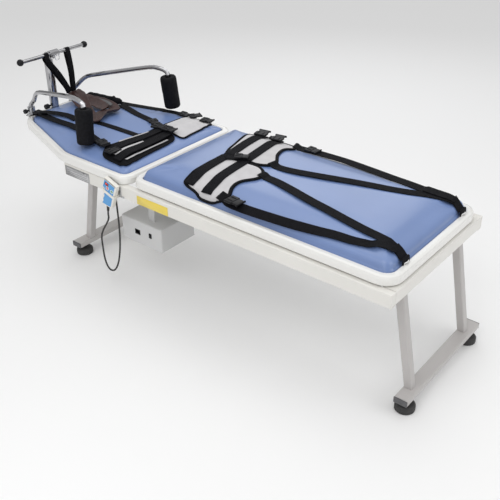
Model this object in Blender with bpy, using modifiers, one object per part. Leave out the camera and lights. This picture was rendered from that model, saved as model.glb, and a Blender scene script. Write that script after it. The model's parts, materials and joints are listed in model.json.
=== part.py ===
"""Motorised traction bed for the neck and lower back: a steel underframe, a fixed head board with a
T-bar post and two padded armpit bars, and a foot board that an actuator draws along the rails.

Metres. +X points to the foot end, +Z up, the handset hangs on the -Y side, and the floor is Z = 0.
"""

import math

import bmesh
import bpy
from mathutils import Matrix, Vector

# Clearance between touching pieces, and where the bed's own axes stand in the world, so that the
# origin is under the middle of the whole object, handset included
GAP = 0.0003
BED_PLACE = (-0.02175, 0.01530, 0.0)

# Underframe
FRAME_HEAD_X = -0.525
FRAME_FOOT_X = 0.955
HALF_WIDTH = 0.315
RAIL_TOP = 0.4725
RAIL_HEIGHT = 0.050
RAIL_THICKNESS = 0.028
RAIL_BOTTOM = RAIL_TOP - RAIL_HEIGHT
END_RAIL_WIDTH = 0.050
WALL = 0.002
LEG_SIDE = 0.030
LEG_Y = 0.196
LEG_TOP_INSET = 0.0320
LEG_SPLAY = 0.0745
BAR_OVERHANG = 0.050
BAR_WIDTH = 0.050
BAR_THICKNESS = 0.023
BAR_BOTTOM = 0.044
BAR_TOP = BAR_BOTTOM + BAR_THICKNESS
BAR_HALF_LENGTH = 0.268
FOOT_Y = 0.231
FOOT_RADIUS = 0.035
CROSS_X = -0.150
CROSS_DROP = 0.022
CROSS_RISE = 0.026
END_PLATE = 0.003
DRAIN_RADIUS = 0.004

# Boards
BOARD_THICKNESS = 0.035
BOARD_FLOOR = 0.012
RIM_WIDTH = 0.028
HEAD_BOARD_Z = RAIL_TOP + GAP
FOOT_BOARD_Z = RAIL_TOP + 0.003
HEAD_OUTLINE = (
    (-0.174, -0.316, 0.052),
    (-0.174, 0.316, 0.052),
    (-0.5400, 0.316, 0.200),
    (-0.990, 0.163, 0.120),
    (-0.990, -0.163, 0.120),
    (-0.5400, -0.316, 0.200),
)
FOOT_OUTLINE = (
    (0.9466, -0.300, 0.063),
    (0.9466, 0.300, 0.063),
    (-0.163, 0.300, 0.052),
    (-0.163, -0.300, 0.052),
)
HEAD_CROWN = 0.028
FOOT_CROWN = 0.050
# Each cushion's edge: (inset from the rim's inner face, share of the crown's height).
HEAD_EDGE = ((0.003, 0.14), (0.012, 0.39), (0.040, 0.60), (0.080, 0.85), (0.098, 1.0))
FOOT_EDGE = ((0.001, 0.15), (0.006, 0.48), (0.016, 0.70), (0.034, 0.84), (0.098, 1.0))

# Slide
TRACK_START = -0.100
TRACK_END = 0.900
TRACK_DEPTH = 0.020
TRACK_HEIGHT = 0.032
ROLLER_RADIUS = 0.0135
ROLLER_WIDTH = 0.013
ROLLER_Z = 0.4545
AXLE_RADIUS = 0.004
CARRIAGE_XS = (0.060, 0.720)
CARRIAGE_HALF = 0.255
ACTUATOR_Z = 0.405

# Post and T-bar
POST_X = -0.964
SLEEVE_RADIUS = 0.0195
SLEEVE_SEAT = HEAD_BOARD_Z + BOARD_FLOOR - 0.001
SLEEVE_TOP = 0.728
POST_RADIUS = 0.0135
POST_BOTTOM = 0.500
T_BAR_X = -0.923
T_BAR_Z = 0.763
T_BAR_RADIUS = 0.008
T_BAR_HALF = 0.164
BALL_Y = 0.1725
BALL_RADIUS = 0.0145
POST_ARM_Z = 0.749
POST_ARM_RADIUS = 0.009
POST_KNOB_Z = 0.5235

# Armpit bars, for the far side; the near side mirrors them, and each stands swung on its socket
ARM_RADIUS = 0.0097
SOCKET = (-0.980, 0.114)
SOCKET_RADIUS = 0.0165
SOCKET_BOTTOM = 0.479
SOCKET_TOP = 0.540
SWING = {"near": math.radians(-6.0), "far": 0.0}
ARM_ROUTE = (
    (-0.980, 0.114, 0.5135),
    (-0.980, 0.114, 0.5410),
    (-0.9755, 0.1145, 0.5530),
    (-0.9450, 0.1210, 0.5800),
    (-0.9190, 0.1340, 0.6090),
    (-0.8890, 0.1455, 0.6310),
    (-0.8400, 0.1610, 0.6455),
    (-0.7200, 0.2050, 0.6750),
    (-0.5984, 0.2490, 0.7036),
    (-0.5600, 0.2580, 0.7075),
    (-0.5230, 0.2645, 0.7035),
)
PAD_TOP = Vector((-0.5022, 0.2680, 0.6780))
PAD_BOTTOM = Vector((-0.4955, 0.2825, 0.5385))
PAD_RADIUS = 0.0350

# Handset, drawn on its own centre: U to the right of its face, V up it
HANDSET = Vector((-0.2472, -0.3328, 0.4328))
HANDSET_TILT = math.radians(19.5)
HANDSET_HALF_DEPTH = 0.0105
HANDSET_SHELL = 0.0022
BUTTONS = {"release_button": (-0.0047, 0.0270), "traction_button": (0.0191, 0.0267)}
BUTTON_RADIUS = 0.0052
WINDOW = (-0.0122, 0.0415)
WINDOW_SIZE = (0.0168, 0.0099)
HANDSET_OUTLINE = (
    (0.0350, 0.0543),
    (0.0339, 0.0584),
    (0.0299, 0.0598),
    (-0.0267, 0.0603),
    (-0.0308, 0.0589),
    (-0.0324, 0.0547),
    (-0.0348, 0.0239),
    (-0.0331, 0.0179),
    (-0.0285, 0.0147),
    (-0.0230, 0.0132),
    (-0.0189, 0.0092),
    (-0.0177, 0.0041),
    (-0.0198, -0.0018),
    (-0.0221, -0.0074),
    (-0.0205, -0.0129),
    (-0.0191, -0.0175),
    (-0.0207, -0.0235),
    (-0.0230, -0.0290),
    (-0.0221, -0.0345),
    (-0.0201, -0.0400),
    (-0.0212, -0.0460),
    (-0.0237, -0.0515),
    (-0.0237, -0.0566),
    (-0.0198, -0.0598),
    (0.0092, -0.0550),
    (0.0258, -0.0515),
    (0.0313, -0.0483),
    (0.0333, -0.0428),
    (0.0339, -0.0184),
    (0.0348, 0.0368),
)
RELIEF_START = Vector((0.0041, -0.0564))
RELIEF_TURN = math.radians(12.0)
RELIEF_LENGTH = 0.025

# Handset cord: out of the grommet under the near rail, down in one loop, and up to the handset
CORD_RADIUS = 0.0035
GROMMET = (-0.250, -0.301)
GROMMET_LENGTH = 0.013
CORD_ROUTE = (
    (-0.2500, -0.3010, 0.385),
    (-0.2480, -0.3016, 0.340),
    (-0.2450, -0.3035, 0.280),
    (-0.2440, -0.3070, 0.220),
    (-0.2475, -0.3120, 0.160),
    (-0.2560, -0.3180, 0.110),
    (-0.2700, -0.3240, 0.078),
    (-0.2880, -0.3280, 0.068),
    (-0.3060, -0.3305, 0.078),
    (-0.3185, -0.3320, 0.112),
    (-0.3225, -0.3326, 0.165),
    (-0.3190, -0.3328, 0.230),
)

# Control box under the bed
BOX_LOW = Vector((-0.290, -0.250, 0.195))
BOX_HIGH = Vector((-0.070, -0.060, 0.295))
SWITCH = (-0.130, 0.250)
INLET = (-0.200, 0.245)

# Soft goods, plain slabs: outlines on the boards
PELVIC_OUTLINES = {
    "near": (
        (0.060, -0.222),
        (0.074, -0.250),
        (0.132, -0.259),
        (0.200, -0.263),
        (0.258, -0.256),
        (0.269, -0.236),
        (0.249, -0.196),
        (0.253, -0.150),
        (0.287, -0.096),
        (0.273, -0.048),
        (0.240, -0.024),
        (0.072, -0.030),
        (0.058, -0.060),
        (0.058, -0.140),
    ),
    "far": (
        (0.040, 0.026),
        (0.064, -0.008),
        (0.126, -0.014),
        (0.214, -0.012),
        (0.250, 0.008),
        (0.257, 0.047),
        (0.221, 0.104),
        (0.207, 0.159),
        (0.219, 0.208),
        (0.198, 0.244),
        (0.136, 0.250),
        (0.016, 0.245),
        (-0.004, 0.200),
        (0.006, 0.150),
        (0.024, 0.085),
    ),
}
CHEST_OUTLINE = (
    (-0.388, -0.212),
    (-0.364, -0.247),
    (-0.313, -0.260),
    (-0.240, -0.258),
    (-0.225, -0.238),
    (-0.226, -0.016),
    (-0.238, 0.070),
    (-0.236, 0.120),
    (-0.250, 0.266),
    (-0.366, 0.266),
    (-0.376, 0.240),
    (-0.370, 0.160),
    (-0.370, -0.120),
)
HALTER_OUTLINE = (
    (-0.935, 0.075),
    (-0.880, 0.045),
    (-0.800, -0.005),
    (-0.700, -0.055),
    (-0.612, -0.108),
    (-0.590, -0.060),
    (-0.603, 0.070),
    (-0.650, 0.118),
    (-0.730, 0.130),
    (-0.850, 0.118),
    (-0.930, 0.108),
)
CUSHION_TOP = HEAD_BOARD_Z + BOARD_THICKNESS + HEAD_CROWN

PALETTE = {
    "frame_paint": ((0.86, 0.85, 0.82), 0.38, 0.0),
    "leg_paint": ((0.74, 0.73, 0.72), 0.42, 0.0),
    "board_shell": ((0.93, 0.92, 0.90), 0.25, 0.0),
    "vinyl": ((0.27, 0.42, 0.78), 0.35, 0.0),
    "chrome": ((0.75, 0.75, 0.76), 0.12, 1.0),
    "zinc": ((0.62, 0.63, 0.64), 0.35, 1.0),
    "black_plastic": ((0.03, 0.03, 0.03), 0.40, 0.0),
    "black_rubber": ((0.05, 0.05, 0.05), 0.75, 0.0),
    "black_foam": ((0.02, 0.02, 0.02), 0.85, 0.0),
    "roller_nylon": ((0.80, 0.80, 0.76), 0.45, 0.0),
    "handset_shell": ((0.88, 0.87, 0.83), 0.35, 0.0),
    "display": ((0.06, 0.0, 0.0), 0.10, 0.0),
    "red_button": ((0.65, 0.02, 0.03), 0.35, 0.0),
    "green_button": ((0.03, 0.28, 0.12), 0.35, 0.0),
    "webbing": ((0.03, 0.03, 0.03), 0.80, 0.0),
    "leather": ((0.12, 0.06, 0.05), 0.50, 0.0),
    "box_paint": ((0.70, 0.68, 0.70), 0.45, 0.0),
}

X_AXIS = (0.0, math.pi / 2, 0.0)
Y_AXIS = (math.pi / 2, 0.0, 0.0)
Z_AXIS = (0.0, 0.0, 0.0)


def clear_scene():
    for item in list(bpy.data.objects):
        bpy.data.objects.remove(item, do_unlink=True)


def collection(name):
    group = bpy.data.collections.new(name)
    bpy.context.scene.collection.children.link(group)
    return group


def material(name):
    found = bpy.data.materials.get(name)
    if found:
        return found
    colour, roughness, metallic = PALETTE[name]
    made = bpy.data.materials.new(name)
    made.use_nodes = True
    shader = made.node_tree.nodes["Principled BSDF"]
    shader.inputs["Base Color"].default_value = (*colour, 1.0)
    shader.inputs["Roughness"].default_value = roughness
    shader.inputs["Metallic"].default_value = metallic
    made.diffuse_color = (*colour, 1.0)
    return made


def empty(name, location=(0.0, 0.0, 0.0), rotation=Z_AXIS, parent=None):
    made = bpy.data.objects.new(name, None)
    made.location = location
    made.rotation_euler = rotation
    made.parent = parent
    PARTS.objects.link(made)
    return made


def piece(name, mesh, finish, location=(0.0, 0.0, 0.0), rotation=Z_AXIS, parent=None):
    """A sub-part: its object, its material and its place under the bed's empty."""
    made = bpy.data.objects.new(name, mesh)
    made.location = location
    made.rotation_euler = rotation
    made.parent = parent or BED
    if finish:
        mesh.materials.append(material(finish))
        mesh.shade_smooth()
        mesh.set_sharp_from_angle(angle=math.radians(35))
        PARTS.objects.link(made)
    else:
        made.hide_render = True
        made.display_type = "WIRE"
        CUTTERS.objects.link(made)
    return made


def boolean(target, other, operation="DIFFERENCE"):
    step = target.modifiers.new(f"{operation.lower()} {other.name}", "BOOLEAN")
    step.operation = operation
    step.object = other
    return target


def bevel(target, width, segments=2):
    step = target.modifiers.new("rounded edges", "BEVEL")
    step.width = width
    step.segments = segments
    step.limit_method = "ANGLE"
    step.angle_limit = math.radians(50)
    return target


def mesh_from(name, shape):
    made = bpy.data.meshes.new(name)
    shape.to_mesh(made)
    shape.free()
    return made


def box_mesh(name, size):
    shape = bmesh.new()
    bmesh.ops.create_cube(shape, size=1.0, matrix=Matrix.Diagonal((*size, 1.0)))
    return mesh_from(name, shape)


def box(name, low, high, finish, parent=None):
    low, high = Vector(low), Vector(high)
    return piece(name, box_mesh(name, high - low), finish, (low + high) / 2, parent=parent)


def cylinder_mesh(name, radius, length, sides=20):
    shape = bmesh.new()
    bmesh.ops.create_cone(
        shape, cap_ends=True, segments=sides, radius1=radius, radius2=radius, depth=length
    )
    return mesh_from(name, shape)


def cylinder(name, radius, length, centre, axis, finish, sides=20, parent=None):
    return piece(name, cylinder_mesh(name, radius, length, sides), finish, centre, axis, parent)


def evaluated_mesh(name, source):
    """The mesh of a curve or of an object with modifiers, its loose caps welded on."""
    bpy.context.view_layer.update()
    found = source.evaluated_get(bpy.context.evaluated_depsgraph_get())
    made = bpy.data.meshes.new_from_object(found)
    made.name = name
    shape = bmesh.new()
    shape.from_mesh(made)
    bmesh.ops.remove_doubles(shape, verts=shape.verts, dist=0.00001)
    bmesh.ops.recalc_face_normals(shape, faces=shape.faces)
    shape.to_mesh(made)
    shape.free()
    bpy.data.objects.remove(source, do_unlink=True)
    return made


def plate_mesh(name, loops, thickness):
    """Flat outlines in XY, the first the outside and the others holes, given a thickness along Z."""
    curve = bpy.data.curves.new(name, "CURVE")
    curve.dimensions = "2D"
    curve.fill_mode = "BOTH"
    curve.extrude = thickness / 2
    for loop in loops:
        spline = curve.splines.new("POLY")
        spline.points.add(len(loop) - 1)
        for point, (x, y) in zip(spline.points, loop):
            point.co = (x, y, 0.0, 1.0)
        spline.use_cyclic_u = True
    source = bpy.data.objects.new(name + "_outline", curve)
    PARTS.objects.link(source)
    return evaluated_mesh(name, source)


def tube_mesh(name, points, radius, resolution):
    """A round tube along a route of points, with its ends closed."""
    curve = bpy.data.curves.new(name, "CURVE")
    curve.dimensions = "3D"
    curve.bevel_depth = radius
    curve.bevel_resolution = resolution
    curve.use_fill_caps = True
    spline = curve.splines.new("POLY")
    spline.points.add(len(points) - 1)
    for point, place in zip(spline.points, points):
        point.co = (*place, 1.0)
    source = bpy.data.objects.new(name + "_route", curve)
    PARTS.objects.link(source)
    return evaluated_mesh(name, source)


def turned_mesh(name, profile, steps=24, closed=False):
    """A profile of (radius, height), down its outer side, turned about Z."""
    source_mesh = bpy.data.meshes.new(name + "_profile")
    count = len(profile)
    edges = [(i, i + 1) for i in range(count - 1)]
    if closed:
        edges.append((count - 1, 0))
    source_mesh.from_pydata([(r, 0.0, z) for r, z in profile], edges, [])
    source = bpy.data.objects.new(name + "_turned", source_mesh)
    PARTS.objects.link(source)
    turn = source.modifiers.new("turn", "SCREW")
    turn.steps = steps
    turn.render_steps = steps
    turn.use_merge_vertices = True
    turn.merge_threshold = 0.00005
    return evaluated_mesh(name, source)


def rounded_rectangle(width, height, radius, segments=3):
    corners = (
        (-width / 2, -height / 2, radius),
        (width / 2, -height / 2, radius),
        (width / 2, height / 2, radius),
        (-width / 2, height / 2, radius),
    )
    return rounded_polygon(corners, 0.0, segments)


def rounded_polygon(corners, inset, segments=6):
    """Anticlockwise outline of a convex polygon moved inwards, with an arc at each corner."""
    count = len(corners)
    sides = []
    for i, corner in enumerate(corners):
        before = Vector(corners[i - 1][:2])
        here = Vector(corner[:2])
        after = Vector(corners[(i + 1) % count][:2])
        arriving = (here - before).normalized()
        leaving = (after - here).normalized()
        normal = Vector((-arriving.y, arriving.x))
        bisector = (normal + Vector((-leaving.y, leaving.x))).normalized()
        moved = here + bisector * (inset / bisector.dot(normal))
        sides.append((moved, arriving, normal, arriving.angle(leaving), corner[2]))
    points = []
    for moved, arriving, normal, turn, radius in sides:
        radius = max(radius - inset, 0.003)
        centre = moved - arriving * (radius * math.tan(turn / 2)) + normal * radius
        for k in range(segments + 1):
            arm = -normal
            arm.rotate(Matrix.Rotation(turn * k / segments, 2))
            points.append(tuple(centre + arm * radius))
    return points


def smooth_curve(points, steps, closed=False):
    """Points along the Catmull-Rom curve through the given ones."""
    nodes = [Vector(p) for p in points]
    count = len(nodes)
    if closed:
        spans = [[nodes[(i + k) % count] for k in (-1, 0, 1, 2)] for i in range(count)]
    else:
        ends = [2 * nodes[0] - nodes[1], *nodes, 2 * nodes[-1] - nodes[-2]]
        spans = [ends[i : i + 4] for i in range(count - 1)]
    curve = []
    for a, b, c, d in spans:
        for k in range(steps):
            t = k / steps
            bend = 2 * a - 5 * b + 4 * c - d
            twist = 3 * b - a - 3 * c + d
            curve.append(0.5 * (2 * b + (c - a) * t + bend * t**2 + twist * t**3))
    if not closed:
        curve.append(nodes[-1])
    return curve


def offset_loop(points, inset):
    """A closed anticlockwise outline moved inwards point by point."""
    count = len(points)
    moved = []
    for i, here in enumerate(points):
        along = (points[(i + 1) % count] - points[i - 1]).normalized()
        moved.append(here + Vector((-along.y, along.x)) * inset)
    return moved


def lofted_mesh(name, outline_at, levels):
    """Closed solid through the outline at each (inset, height), flat at its first and last level."""
    shape = bmesh.new()
    rings = []
    for inset, height in levels:
        rings.append([shape.verts.new((x, y, height)) for x, y in outline_at(inset)])
    count = len(rings[0])
    for lower, upper in zip(rings, rings[1:]):
        for i in range(count):
            j = (i + 1) % count
            shape.faces.new((lower[i], lower[j], upper[j], upper[i]))
    shape.faces.new(list(reversed(rings[0])))
    shape.faces.new(rings[-1])
    return mesh_from(name, shape)


def hollow_bar_mesh(name, width, height, length, wall, corner=0.004):
    outer = rounded_rectangle(width, height, corner, 2)
    inner = rounded_rectangle(width - 2 * wall, height - 2 * wall, corner - wall, 2)
    return plate_mesh(name, (outer, inner), length)


def mirrored(point, side):
    return Vector((point[0], side * point[1], point[2]))


def close_rail(rail, y, z):
    """Plates welded into a side rail's two ends, and a drain hole in its floor."""
    half_y = RAIL_THICKNESS / 2 - WALL / 2
    half_z = RAIL_HEIGHT / 2 - WALL / 2
    for start in (FRAME_HEAD_X + END_PLATE / 4, FRAME_FOOT_X - END_PLATE * 5 / 4):
        plate = box(
            "rail_end_plate",
            (start, y - half_y, z - half_z),
            (start + END_PLATE, y + half_y, z + half_z),
            None,
        )
        boolean(rail, plate, "UNION")
    drain = cylinder(
        "rail_drain", DRAIN_RADIUS, 4 * WALL, (FRAME_HEAD_X + 0.060, y, RAIL_BOTTOM), Z_AXIS, None, 12
    )
    boolean(rail, drain)


def build_rails():
    length = FRAME_FOOT_X - FRAME_HEAD_X
    middle_x = (FRAME_FOOT_X + FRAME_HEAD_X) / 2
    rail_y = HALF_WIDTH - RAIL_THICKNESS / 2
    rail_z = RAIL_TOP - RAIL_HEIGHT / 2
    for name, side in (("side_rail_near", -1), ("side_rail_far", 1)):
        mesh = hollow_bar_mesh(name, RAIL_HEIGHT, RAIL_THICKNESS, length, WALL)
        rail = piece(name, mesh, "frame_paint", (middle_x, side * rail_y, rail_z), X_AXIS)
        close_rail(rail, side * rail_y, rail_z)
    inside = 2 * (HALF_WIDTH - RAIL_THICKNESS - GAP)
    mesh = hollow_bar_mesh("end_rail_foot", END_RAIL_WIDTH, RAIL_HEIGHT, inside, WALL)
    piece(
        "end_rail_foot", mesh, "frame_paint", (FRAME_FOOT_X - END_RAIL_WIDTH / 2, 0, rail_z), Y_AXIS
    )
    mesh = hollow_bar_mesh("head_outrigger", END_RAIL_WIDTH, RAIL_HEIGHT, inside, WALL)
    outrigger = piece(
        "head_outrigger", mesh, "frame_paint", (FRAME_HEAD_X + END_RAIL_WIDTH / 2, 0, rail_z), Y_AXIS
    )
    beam = box("outrigger_beam", (-0.975, -0.040, 0.4425), (FRAME_HEAD_X + 0.001, 0.040, 0.471), None)
    boolean(outrigger, beam, "UNION")
    cross = hollow_bar_mesh("cross_member", 0.030, CROSS_DROP + CROSS_RISE, inside, WALL)
    cross_z = RAIL_BOTTOM + (CROSS_RISE - CROSS_DROP) / 2
    piece("cross_member", cross, "frame_paint", (CROSS_X, 0, cross_z), Y_AXIS)


def build_leg(name, end, side, rail_end_x):
    """A square tube, cut level at both ends, that leans out toward its end of the bed."""
    top_z = RAIL_BOTTOM - GAP
    bottom_z = BAR_TOP + GAP
    height = top_z - bottom_z
    mesh = hollow_bar_mesh(name, LEG_SIDE, LEG_SIDE, height, WALL)
    lean = Matrix.Identity(4)
    lean[0][2] = -end * LEG_SPLAY / height
    mesh.transform(lean)
    middle_x = rail_end_x + end * (LEG_SPLAY / 2 - LEG_TOP_INSET)
    piece(name, mesh, "leg_paint", (middle_x, side * LEG_Y, (top_z + bottom_z) / 2))


def build_levelling_foot(name, x, y):
    profile = (
        (0.0, 0.0600),
        (0.0050, 0.0600),
        (0.0050, 0.0400),
        (0.0095, 0.0400),
        (0.0095, 0.0300),
        (FOOT_RADIUS - 0.006, 0.0265),
        (FOOT_RADIUS, 0.0205),
        (FOOT_RADIUS, 0.0025),
        (FOOT_RADIUS - 0.002, 0.0),
        (0.0, 0.0),
    )
    piece(name, turned_mesh(name, profile, 20), "black_rubber", (x, y, 0.0))


def build_stands():
    ends = (("head", -1, FRAME_HEAD_X), ("foot", 1, FRAME_FOOT_X))
    for end_name, end, rail_end_x in ends:
        bar_x = rail_end_x + end * BAR_OVERHANG
        name = f"foot_bar_{end_name}"
        mesh = hollow_bar_mesh(name, BAR_WIDTH, BAR_THICKNESS, 2 * BAR_HALF_LENGTH, WALL)
        bar = piece(name, mesh, "leg_paint", (bar_x, 0, BAR_BOTTOM + BAR_THICKNESS / 2), Y_AXIS)
        for side_name, side in (("near", -1), ("far", 1)):
            build_leg(f"leg_{end_name}_{side_name}", end, side, rail_end_x)
            hole_centre = (bar_x, side * FOOT_Y, BAR_BOTTOM)
            hole = cylinder(
                f"stud_hole_{end_name}_{side_name}", 0.006, 0.010, hole_centre, Z_AXIS, None, 16
            )
            boolean(bar, hole)
            build_levelling_foot(f"levelling_foot_{end_name}_{side_name}", bar_x, side * FOOT_Y)


def board_levels(thickness, floor, rim):
    return (
        (0.004, 0.0),
        (0.0, 0.004),
        (0.0, thickness - 0.011),
        (0.0032, thickness - 0.0032),
        (0.011, thickness),
        (rim - 0.005, thickness),
        (rim - 0.001, thickness - 0.003),
        (rim, thickness - 0.008),
        (rim, floor),
    )


def cushion_levels(floor, rim_height, crown, edge):
    side = RIM_WIDTH + 0.001
    return (
        (side, floor + GAP),
        (side, rim_height - 0.004),
        *((side + inset, rim_height + share * crown) for inset, share in edge),
    )


def build_board(prefix, corners, z, crown, edge):
    def outline_at(inset):
        return rounded_polygon(corners, inset, 5)

    tray_mesh = lofted_mesh(
        f"{prefix}_tray", outline_at, board_levels(BOARD_THICKNESS, BOARD_FLOOR, RIM_WIDTH)
    )
    tray = piece(f"{prefix}_tray", tray_mesh, "board_shell", (0, 0, z))
    levels = cushion_levels(BOARD_FLOOR, BOARD_THICKNESS, crown, edge)
    cushion_mesh = lofted_mesh(f"{prefix}_cushion", outline_at, levels)
    cushion = piece(f"{prefix}_cushion", cushion_mesh, "vinyl", (0, 0, z))
    return tray, cushion


def build_boards():
    head_tray, head_cushion = build_board(
        "head", HEAD_OUTLINE, HEAD_BOARD_Z, HEAD_CROWN, HEAD_EDGE
    )
    hole_middle = (POST_X, 0, SLEEVE_SEAT + 0.100)
    hole = cylinder("post_hole", SLEEVE_RADIUS + 0.001, 0.200, hole_middle, Z_AXIS, None, 24)
    boolean(head_tray, hole)
    boolean(head_cushion, hole)
    build_board("foot", FOOT_OUTLINE, FOOT_BOARD_Z, FOOT_CROWN, FOOT_EDGE)


def build_tracks():
    """C-shaped channels on the rails' inner faces, open towards the middle."""
    wall = 0.0018
    length = TRACK_END - TRACK_START
    middle_x = (TRACK_START + TRACK_END) / 2
    half = TRACK_HEIGHT / 2
    lip = TRACK_DEPTH
    section = [
        (-half, 0.0),
        (half, 0.0),
        (half, lip),
        (half - wall, lip),
        (half - wall, wall),
        (-half + wall, wall),
        (-half + wall, lip),
        (-half, lip),
    ]
    for name, side in (("slide_track_near", -1), ("slide_track_far", 1)):
        loop = section if side < 0 else [(x, -y) for x, y in reversed(section)]
        mesh = plate_mesh(name, (loop,), length)
        back_y = side * (HALF_WIDTH - RAIL_THICKNESS - GAP)
        piece(name, mesh, "zinc", (middle_x, back_y, ROLLER_Z), X_AXIS)


def build_rollers():
    roller_y = CARRIAGE_HALF + 0.0155 + ROLLER_WIDTH / 2
    half = ROLLER_WIDTH / 2
    bore = AXLE_RADIUS + 0.0003
    profile = (
        (bore, half),
        (ROLLER_RADIUS - 0.001, half),
        (ROLLER_RADIUS, half - 0.001),
        (ROLLER_RADIUS, -half + 0.001),
        (ROLLER_RADIUS - 0.001, -half),
        (bore, -half),
    )
    for place, x in zip(("head", "foot"), CARRIAGE_XS):
        for side_name, side in (("near", -1), ("far", 1)):
            name = f"roller_{place}_{side_name}"
            mesh = turned_mesh(name, profile, 20, closed=True)
            piece(name, mesh, "roller_nylon", (x, side * roller_y, ROLLER_Z), Y_AXIS)


def build_carriage():
    top = FOOT_BOARD_Z - GAP
    for place, x in zip(("head", "foot"), CARRIAGE_XS):
        name = f"carriage_bar_{place}"
        bar = box(
            name,
            (x - 0.020, -CARRIAGE_HALF, top - 0.028),
            (x + 0.020, CARRIAGE_HALF, top),
            "zinc",
        )
        for side in (-1, 1):
            axle = cylinder(
                f"{name}_axle_{side}",
                AXLE_RADIUS,
                0.040,
                (x, side * (CARRIAGE_HALF + 0.0085), ROLLER_Z),
                Y_AXIS,
                None,
                20,
            )
            boolean(bar, axle, "UNION")
        if place == "foot":
            tab = box("rod_tab", (x - 0.006, -0.020, 0.385), (x + 0.006, 0.020, top - 0.020), None)
            boolean(bar, tab, "UNION")
            hole = cylinder("rod_hole", 0.0064, 0.05, (x, 0, ACTUATOR_Z), X_AXIS, None, 16)
            boolean(bar, hole)


def build_actuator():
    """Linear actuator on the middle line, its body on the cross member and its rod on the carriage."""
    body_end = CROSS_X + 0.015 + GAP
    housing = box(
        "actuator_housing", (body_end + 0.030, -0.034, 0.372), (-0.0203, 0.034, 0.437), "black_plastic"
    )
    lug = box("housing_lug", (body_end, -0.012, 0.396), (body_end + 0.032, 0.012, 0.418), None)
    boolean(housing, lug, "UNION")
    motor = cylinder("motor_can", 0.029, 0.110, (-0.062, 0.0, 0.330), Z_AXIS, None, 24)
    boolean(housing, motor, "UNION")
    tube_profile = (
        (0.0, 0.0),
        (0.018, 0.0),
        (0.018, -0.440),
        (0.009, -0.440),
        (0.009, -0.006),
        (0.0, -0.006),
    )
    tube = turned_mesh("actuator_tube", tube_profile, 20)
    piece("actuator_tube", tube, "zinc", (-0.020, 0, ACTUATOR_Z), (0, -math.pi / 2, 0))
    tab_face = CARRIAGE_XS[1] - 0.006 - GAP
    back_face = CARRIAGE_XS[1] + 0.006 + GAP
    rod_start = 0.180
    rod_profile = (
        (0.0, rod_start),
        (0.0080, rod_start),
        (0.0080, tab_face),
        (0.0060, tab_face),
        (0.0060, back_face),
        (0.0095, back_face),
        (0.0095, back_face + 0.010),
        (0.0, back_face + 0.010),
    )
    rod = turned_mesh("actuator_rod", [(r, -x) for r, x in rod_profile], 20)
    piece("actuator_rod", rod, "chrome", (0, 0, ACTUATOR_Z), (0, -math.pi / 2, 0))


def fluted_outline(radius, depth, flutes, count=36):
    loop = []
    for i in range(count):
        angle = 2 * math.pi * i / count
        reach = radius - depth * (1 - math.cos(flutes * angle)) / 2
        loop.append((reach * math.cos(angle), reach * math.sin(angle)))
    return loop


def build_knob(name, radius, thickness, stem, face, direction, rotation):
    """A fluted hand knob on a threaded stem: its stem starts at the face it clamps through."""
    mesh = plate_mesh(name, (fluted_outline(radius, 0.0022, 6),), thickness)
    centre = Vector(face) + Vector(direction) * (stem + thickness / 2)
    knob = piece(name, mesh, "black_plastic", centre, rotation)
    bevel(knob, 0.0012, 1)
    stem_centre = Vector(face) + Vector(direction) * ((stem + 0.004) / 2)
    screw = cylinder(f"{name}_stem", 0.0035, stem + 0.004, stem_centre, rotation, None, 12)
    boolean(knob, screw, "UNION")


def build_post():
    base_z = SLEEVE_SEAT + GAP
    height = SLEEVE_TOP - base_z
    bore = POST_RADIUS + GAP
    profile = (
        (bore, height),
        (SLEEVE_RADIUS - 0.001, height),
        (SLEEVE_RADIUS, height - 0.001),
        (SLEEVE_RADIUS, 0.0),
        (bore, 0.0),
    )
    sleeve_mesh = turned_mesh("post_sleeve", profile, 24, True)
    piece("post_sleeve", sleeve_mesh, "chrome", (POST_X, 0, base_z))
    height = POST_ARM_Z + POST_ARM_RADIUS - POST_BOTTOM
    post = cylinder(
        "post_tube", POST_RADIUS, height, (POST_X, 0, POST_BOTTOM + height / 2), Z_AXIS, "chrome", 28
    )
    reach = T_BAR_X - POST_X
    arm_middle = (POST_X + reach / 2, 0, POST_ARM_Z)
    stub = cylinder("post_arm", POST_ARM_RADIUS - 0.0005, reach, arm_middle, X_AXIS, None, 20)
    boolean(post, stub, "UNION")
    clamp = cylinder("post_clamp", 0.0150, 0.046, (T_BAR_X, 0, T_BAR_Z), Y_AXIS, None, 24)
    boolean(post, clamp, "UNION")
    bore_cutter = cylinder(
        "t_bar_bore", T_BAR_RADIUS + GAP, 0.1, (T_BAR_X, 0, T_BAR_Z), Y_AXIS, None, 20
    )
    boolean(post, bore_cutter)
    cylinder("t_bar", T_BAR_RADIUS, 2 * T_BAR_HALF, (T_BAR_X, 0, T_BAR_Z), Y_AXIS, "chrome", 20)
    for name, side in (("t_bar_ball_near", -1), ("t_bar_ball_far", 1)):
        shape = bmesh.new()
        bmesh.ops.create_uvsphere(shape, u_segments=16, v_segments=10, radius=BALL_RADIUS)
        ball = piece(
            name, mesh_from(name, shape), "black_plastic", (T_BAR_X, side * BALL_Y, T_BAR_Z), Y_AXIS
        )
        end_space = cylinder(
            f"{name}_bore",
            T_BAR_RADIUS + 0.0004,
            0.020,
            (T_BAR_X, side * (T_BAR_HALF - 0.010 + GAP), T_BAR_Z),
            Y_AXIS,
            None,
            20,
        )
        boolean(ball, end_space)
    build_knob(
        "post_knob",
        0.0110,
        0.020,
        0.012,
        (POST_X, -SLEEVE_RADIUS - GAP, POST_KNOB_Z),
        (0, -1, 0),
        Y_AXIS,
    )


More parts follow.
